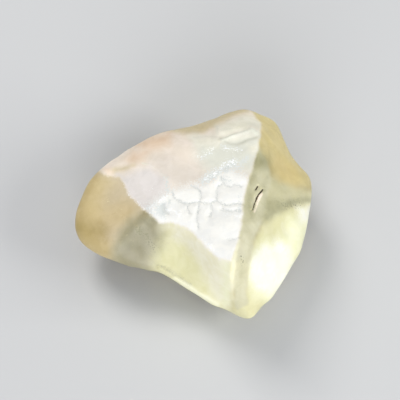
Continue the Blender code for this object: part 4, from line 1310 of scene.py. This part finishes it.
@dataclass
class Nugget:
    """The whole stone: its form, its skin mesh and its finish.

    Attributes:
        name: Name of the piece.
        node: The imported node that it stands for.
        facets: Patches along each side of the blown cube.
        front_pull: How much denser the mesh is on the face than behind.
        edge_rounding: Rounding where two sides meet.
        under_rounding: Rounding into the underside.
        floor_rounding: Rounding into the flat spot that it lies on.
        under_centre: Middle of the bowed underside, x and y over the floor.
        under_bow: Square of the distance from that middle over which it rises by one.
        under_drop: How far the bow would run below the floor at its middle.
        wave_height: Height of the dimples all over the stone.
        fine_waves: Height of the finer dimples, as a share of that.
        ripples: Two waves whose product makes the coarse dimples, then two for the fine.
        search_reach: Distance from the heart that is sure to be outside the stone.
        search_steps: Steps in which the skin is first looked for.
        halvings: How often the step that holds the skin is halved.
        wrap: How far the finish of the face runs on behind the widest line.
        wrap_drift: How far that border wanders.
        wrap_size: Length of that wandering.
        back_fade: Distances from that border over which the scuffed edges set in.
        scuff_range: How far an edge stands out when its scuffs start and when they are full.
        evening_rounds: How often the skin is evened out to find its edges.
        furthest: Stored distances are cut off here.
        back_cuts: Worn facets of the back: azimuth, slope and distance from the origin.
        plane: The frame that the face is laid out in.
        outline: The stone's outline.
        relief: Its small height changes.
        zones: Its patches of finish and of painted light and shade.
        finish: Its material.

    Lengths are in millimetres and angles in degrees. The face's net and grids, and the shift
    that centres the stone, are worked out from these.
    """

    name: str = "desert_glass_nugget"
    node: str = "desert_glass"
    facets: int = 128
    front_pull: float = 0.3
    edge_rounding: float = 1.6
    under_rounding: float = 3.0
    floor_rounding: float = 0.6
    under_centre: Point2 = (2.2, 3.4)
    under_bow: float = 140.0
    under_drop: float = 0.5
    wave_height: float = 0.07
    fine_waves: float = 0.5
    ripples: tuple[Ripple, ...] = (
        Ripple((9.1, 14.3, math.inf), 0.7), Ripple((math.inf, 8.3, -11.0), 2.1),
        Ripple((5.7, math.inf, -7.9), 4.0), Ripple((17.0, 6.1, math.inf), 1.3),
    )
    search_reach: float = 30.0
    search_steps: int = 30
    halvings: int = 18
    wrap: float = 2.4
    wrap_drift: float = 0.7
    wrap_size: float = 3.4
    back_fade: Point2 = (-1.5, 1.0)
    scuff_range: Point2 = (0.02, 0.12)
    evening_rounds: int = 10
    furthest: float = 9.0
    back_cuts: tuple[Point3, ...] = (
        (150.0, 112.0, 19.4), (205.0, 122.0, 13.9), (245.0, 124.0, 13.3),
        (112.0, 128.0, 14.2), (178.0, 146.0, 9.0), (62.0, 140.0, 9.1),
    )
    plane: FaceFrame = field(default_factory=FaceFrame)
    outline: Outline = field(default_factory=Outline)
    relief: Relief = field(default_factory=Relief)
    zones: SkinZones = field(default_factory=SkinZones)
    finish: WindPolishedSilicaGlass = field(default_factory=WindPolishedSilicaGlass)

    def __post_init__(self) -> None:
        """Lays the face out on its grid."""
        self.net = FaceNet(self.outline)
        axis = np.linspace(-self.net.span, self.net.span, self.net.points)
        self.step = axis[1] - axis[0]
        x, y = np.meshgrid(axis, axis, indexing="ij")
        broad = self.net.broad(x, y, self.step)
        slope_x, slope_y = np.gradient(broad, self.step)
        self.reach = self.zones.reach(x, y)
        self.height = broad + self.relief.height(x, y, self.reach)
        self.stretch = np.sqrt(1.0 + slope_x ** 2 + slope_y ** 2)
        self.shift = np.zeros(3)

    def sample(self, values: Array, x: Array, y: Array) -> Array:
        """Bilinear value of a face grid at points.

        Args:
            values: The grid.
            x: Face-frame x of the points.
            y: Face-frame y of the points.

        Returns:
            The value at each point.
        """
        just_inside = self.net.points - 1.001
        u = np.clip((x + self.net.span) / self.step, 0, just_inside)
        v = np.clip((y + self.net.span) / self.step, 0, just_inside)
        i, j = u.astype(int), v.astype(int)
        u, v = u - i, v - j
        low = values[i, j] * (1 - v) + values[i, j + 1] * v
        high = values[i + 1, j] * (1 - v) + values[i + 1, j + 1] * v
        return low * (1 - u) + high * u

    @staticmethod
    def heading(azimuth: float, slope: float) -> Array:
        """Unit vector leaning from straight up by a slope toward an azimuth."""
        turn, lean = math.radians(azimuth), math.radians(slope)
        return np.array([math.sin(turn) * math.sin(lean), -math.cos(turn) * math.sin(lean),
                         math.cos(lean)])

    def waves(self, p: Array) -> Array:
        """Gentle dimpling of the whole stone.

        Args:
            p: Points of the stone.

        Returns:
            How far the skin sinks in at each point.
        """
        a, b, c, d = (ripple.at(p[:, 0], p[:, 1], p[:, 2]) for ripple in self.ripples)
        return self.wave_height * (a * b + self.fine_waves * (c * d))

    def bound(self, p: Array) -> Array:
        """Signed bound of the stone.

        Args:
            p: Points in its frame.

        Returns:
            Negative inside the glass, positive outside.
        """
        x, y, z = self.plane.laid_out(p)
        face = (z - self.sample(self.height, x, y)) / self.sample(self.stretch, x, y)
        skin = blend(self.outline.bound(x, y, z), face, self.edge_rounding)
        for azimuth, slope, reach in self.back_cuts:
            skin = blend(skin, p @ self.heading(azimuth, slope) - reach, self.edge_rounding)
        away = (p[:, 0] - self.under_centre[0]) ** 2 + (p[:, 1] - self.under_centre[1]) ** 2
        under = away / self.under_bow - self.under_drop - p[:, 2]
        skin = blend(skin, under, self.under_rounding) + self.waves(p)
        return blend(skin, -p[:, 2], self.floor_rounding)

    def skin(self, directions: Array) -> Array:
        """Finds the skin along directions from the heart.

        Args:
            directions: Unit vectors.

        Returns:
            The point of the skin in each direction.
        """
        heart = np.array(self.plane.heart)
        low = np.zeros(len(directions))
        high = np.full(len(directions), self.search_reach)
        found = np.zeros(len(directions), bool)
        before = 0.0
        for reach in np.linspace(1.0, self.search_reach, self.search_steps):
            probe = np.where(~found)[0]
            hit = probe[self.bound(heart + directions[probe] * reach) > 0.0]
            low[hit] = before
            high[hit] = reach
            found[hit] = True
            before = reach
        for _ in range(self.halvings):
            middle = (low + high) / 2.0
            outside = self.bound(heart + directions * middle[:, None]) > 0.0
            high = np.where(outside, middle, high)
            low = np.where(outside, low, middle)
        return heart + directions * ((low + high) / 2.0)[:, None]

    def blown_cube(self) -> bpy.types.Mesh:
        """Cuts a cube finely, before it is blown out to the skin.

        Returns:
            The cube's mesh, two units wide.
        """
        cube = bmesh.new()
        bmesh.ops.create_cube(cube, size=2.0)
        bmesh.ops.subdivide_edges(cube, edges=cube.edges[:], cuts=self.facets - 1,
                                  use_grid_fill=True)
        mesh = bpy.data.meshes.new(self.name)
        cube.to_mesh(mesh)
        cube.free()
        return mesh

    def build(self) -> bpy.types.Object:
        """Makes the skin mesh with its zone attributes.

        Returns:
            The stone, resting on the floor with its box centred on the origin.
        """
        mesh = self.blown_cube()
        corners = np.empty(len(mesh.vertices) * 3)
        mesh.vertices.foreach_get("co", corners)
        spread = np.tan(corners.reshape(-1, 3) * math.pi / 4.0)
        spread /= np.linalg.norm(spread, axis=1)[:, None]
        spread += self.front_pull * self.plane.out
        spread /= np.linalg.norm(spread, axis=1)[:, None]
        points = self.skin(spread)
        low = points.min(axis=0)
        high = points.max(axis=0)
        self.shift = np.array([-(low[0] + high[0]) / 2, -(low[1] + high[1]) / 2, -low[2]])
        mesh.vertices.foreach_set("co", ((points + self.shift) * MM).ravel())
        mesh.polygons.foreach_set("use_smooth", np.ones(len(mesh.polygons), bool))
        mesh.update()
        self.paint(mesh, points)
        stone = bpy.data.objects.new(self.name, mesh)
        bpy.context.collection.objects.link(stone)
        return stone

    def worn_edges(self, mesh: bpy.types.Mesh, points: Array) -> Array:
        """How far each vertex stands out of its surroundings, in millimetres.

        Args:
            mesh: The skin mesh, with its final shape.
            points: Its vertices in millimetres.

        Returns:
            Positive on ridges and negative in hollows.
        """
        count = len(points)
        ends = np.empty(len(mesh.edges) * 2, int)
        mesh.edges.foreach_get("vertices", ends)
        a, b = ends.reshape(-1, 2).T
        links = (np.bincount(a, minlength=count) + np.bincount(b, minlength=count))[:, None]
        even = points.copy()
        for _ in range(self.evening_rounds):
            sums = [np.bincount(a, even[b, k], count) + np.bincount(b, even[a, k], count)
                    for k in range(3)]
            total = np.stack(sums, axis=1)
            even = 0.5 * even + 0.5 * total / links
        normals = np.empty(count * 3)
        mesh.vertex_normals.foreach_get("vector", normals)
        return ((points - even) * normals.reshape(-1, 3)).sum(axis=1)

    def paint(self, mesh: bpy.types.Mesh, points: Array) -> None:
        """Stores each vertex's distance in from the edge of each zone, and the worn edges.

        Args:
            mesh: The skin mesh.
            points: Its vertices in millimetres, before they are shifted to the origin.
        """
        x, y, z = self.plane.laid_out(points)
        drift = Grain(Seed.WRAP).layered(x, z, self.wrap_size) * self.wrap_drift
        front = z - self.outline.limb(y) + self.wrap + drift
        layers = {zone.value: np.minimum(self.sample(grid, x, y), front)
                  for zone, grid in self.reach.items()}
        crack = self.relief.crack_half - self.relief.crack_reach(x, y)
        layers[Zone.GROOVE.value] = np.minimum(crack, layers[Zone.CRUST.value])
        bead = self.relief.slit_bead * Grain(Seed.SLIT).at(x, y, self.relief.bead_size)
        slit = np.maximum(self.relief.slit_half + bead - chain_distance(x, y, self.relief.slit),
                          self.relief.pit_half - chain_distance(x, y, self.relief.pit))
        layers[Zone.SLIT.value] = np.minimum(slit, front)
        behind = 1.0 - smoothstep(front, *self.back_fade)
        layers[WORN] = behind * smoothstep(self.worn_edges(mesh, points), *self.scuff_range)
        for name, values in layers.items():
            layer = mesh.attributes.new(name, "FLOAT", "POINT")
            kept = np.clip(values, -self.furthest, self.furthest)
            layer.data.foreach_set("value", kept.astype(np.float32))

    def dress(self, stone: bpy.types.Object) -> None:
        """Gives the stone its finish and its place in the frame.

        Args:
            stone: The stone.
        """
        stone.data.materials.append(self.finish.make())
        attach(stone, "root")
        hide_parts(self.node)


@dataclass(frozen=True)
class Lamp:
    """A soft square lamp aimed at the stone.

    Attributes:
        name: Its name.
        heading: Direction from the stone to the lamp.
        distance: Distance from the stone in metres.
        side: Width in metres.
        power: Power in watts.
        tint: Colour of its light.
    """

    name: str
    heading: Point3
    distance: float
    side: float
    power: float
    tint: str

    def hang(self, target: Vector) -> None:
        """Puts the lamp in the scene.

        Args:
            target: Point that it is aimed at, in metres.
        """
        data = bpy.data.lights.new(self.name, "AREA")
        data.size = self.side
        data.energy = self.power
        data.color = srgb(self.tint)[:3]
        lamp = bpy.data.objects.new(self.name, data)
        away = Vector(self.heading).normalized()
        lamp.location = target + away * self.distance
        lamp.rotation_euler = away.to_track_quat("Z", "Y").to_euler()
        bpy.context.collection.objects.link(lamp)


@dataclass
class Studio:
    """Pale floor, soft lights and the camera.

    Attributes:
        eye: Distance from the face centre to the camera in millimetres.
        scale: Picture pixels per millimetre at the face centre.
        picture: Picture width in pixels.
        aim: Pixel that the face centre falls on.
        sensor: Camera sensor width in millimetres.
        air: Colour of the light from all round.
        air_strength: Strength of that light.
        board: Colour of the floor.
        board_rough: Roughness of the floor, which is matte paint.
        board_half: Half the floor's width in metres.
        lit_point: Point that the lamps are aimed at, in metres.
        lamps: The lamps.
    """

    eye: float = 280.0
    scale: float = 5.5
    picture: float = 400.0
    aim: Point2 = (193.0, 214.0)
    sensor: float = 36.0
    air: str = "F2F5FA"
    air_strength: float = 0.40
    board: str = "BEBFC1"
    board_rough: float = 0.9
    board_half: float = 1.2
    lit_point: Point3 = (0.0, 0.0, 0.01)
    lamps: tuple[Lamp, ...] = (
        Lamp("key", (-0.40, 0.55, 0.73), 0.60, 0.26, 2.2, "FFFDF8"),
        Lamp("side", (0.88, -0.20, 0.42), 0.55, 0.24, 1.95, "FFFFFA"),
        Lamp("fill", (-0.12, -0.93, 0.30), 0.70, 0.45, 4.4, "FBFCFF"),
    )

    def floor(self) -> None:
        """Lays a wide floor of board painted matte, which gives the eye a plain pale ground."""
        mesh = bpy.data.meshes.new("floor")
        side = self.board_half
        corners = [(-side, -side, 0), (side, -side, 0), (side, side, 0), (-side, side, 0)]
        mesh.from_pydata(corners, [], [(0, 1, 2, 3)])
        floor = bpy.data.objects.new("floor", mesh)
        bpy.context.collection.objects.link(floor)
        material = bpy.data.materials.new("painted_board_matte")
        material.use_nodes = True
        tree = material.node_tree
        tree.nodes.clear()
        shader = add_node(tree, "ShaderNodeBsdfPrincipled", {},
                          {"Base Color": srgb(self.board), "Roughness": self.board_rough})
        add_node(tree, "ShaderNodeOutputMaterial", {}, {"Surface": shader.outputs[0]})
        mesh.materials.append(material)

    def lights(self) -> None:
        """Fills the studio with even light and hangs its soft lamps."""
        world = bpy.data.worlds.new("studio_air")
        world.use_nodes = True
        world.node_tree.nodes.clear()
        air = add_node(world.node_tree, "ShaderNodeBackground", {},
                       {"Color": srgb(self.air), "Strength": self.air_strength})
        add_node(world.node_tree, "ShaderNodeOutputWorld", {}, {"Surface": air.outputs[0]})
        bpy.context.scene.world = world
        for lamp in self.lamps:
            lamp.hang(Vector(self.lit_point))

    def camera(self, nugget: Nugget) -> None:
        """Places the camera square on to the face frame.

        Args:
            nugget: The stone that it looks at.
        """
        data = bpy.data.cameras.new("camera")
        data.sensor_width = self.sensor
        data.lens = self.sensor * self.eye * self.scale / self.picture
        data.shift_x = (self.picture / 2 - self.aim[0]) / self.picture
        data.shift_y = (self.aim[1] - self.picture / 2) / self.picture
        plane = nugget.plane
        place = np.array(plane.centre) + nugget.shift + plane.out * self.eye
        axes = Matrix([plane.right, plane.up, plane.out]).transposed()
        camera = bpy.data.objects.new("camera", data)
        camera.matrix_world = Matrix.Translation(Vector(place * MM)) @ axes.to_4x4()
        bpy.context.collection.objects.link(camera)
        bpy.context.scene.camera = camera


def main() -> None:
    """Builds the stone, then the studio round it."""
    logging.basicConfig(level=logging.INFO)
    nugget = Nugget()
    stone = nugget.build()
    nugget.dress(stone)
    LOG.info("%s: %d faces", stone.name, len(stone.data.polygons))
    studio = Studio()
    studio.floor()
    studio.lights()
    studio.camera(nugget)
    bpy.context.scene.view_settings.view_transform = "Standard"
    LOG.info("floor, lights and camera are in place")


if __name__ == "__main__":
    main()
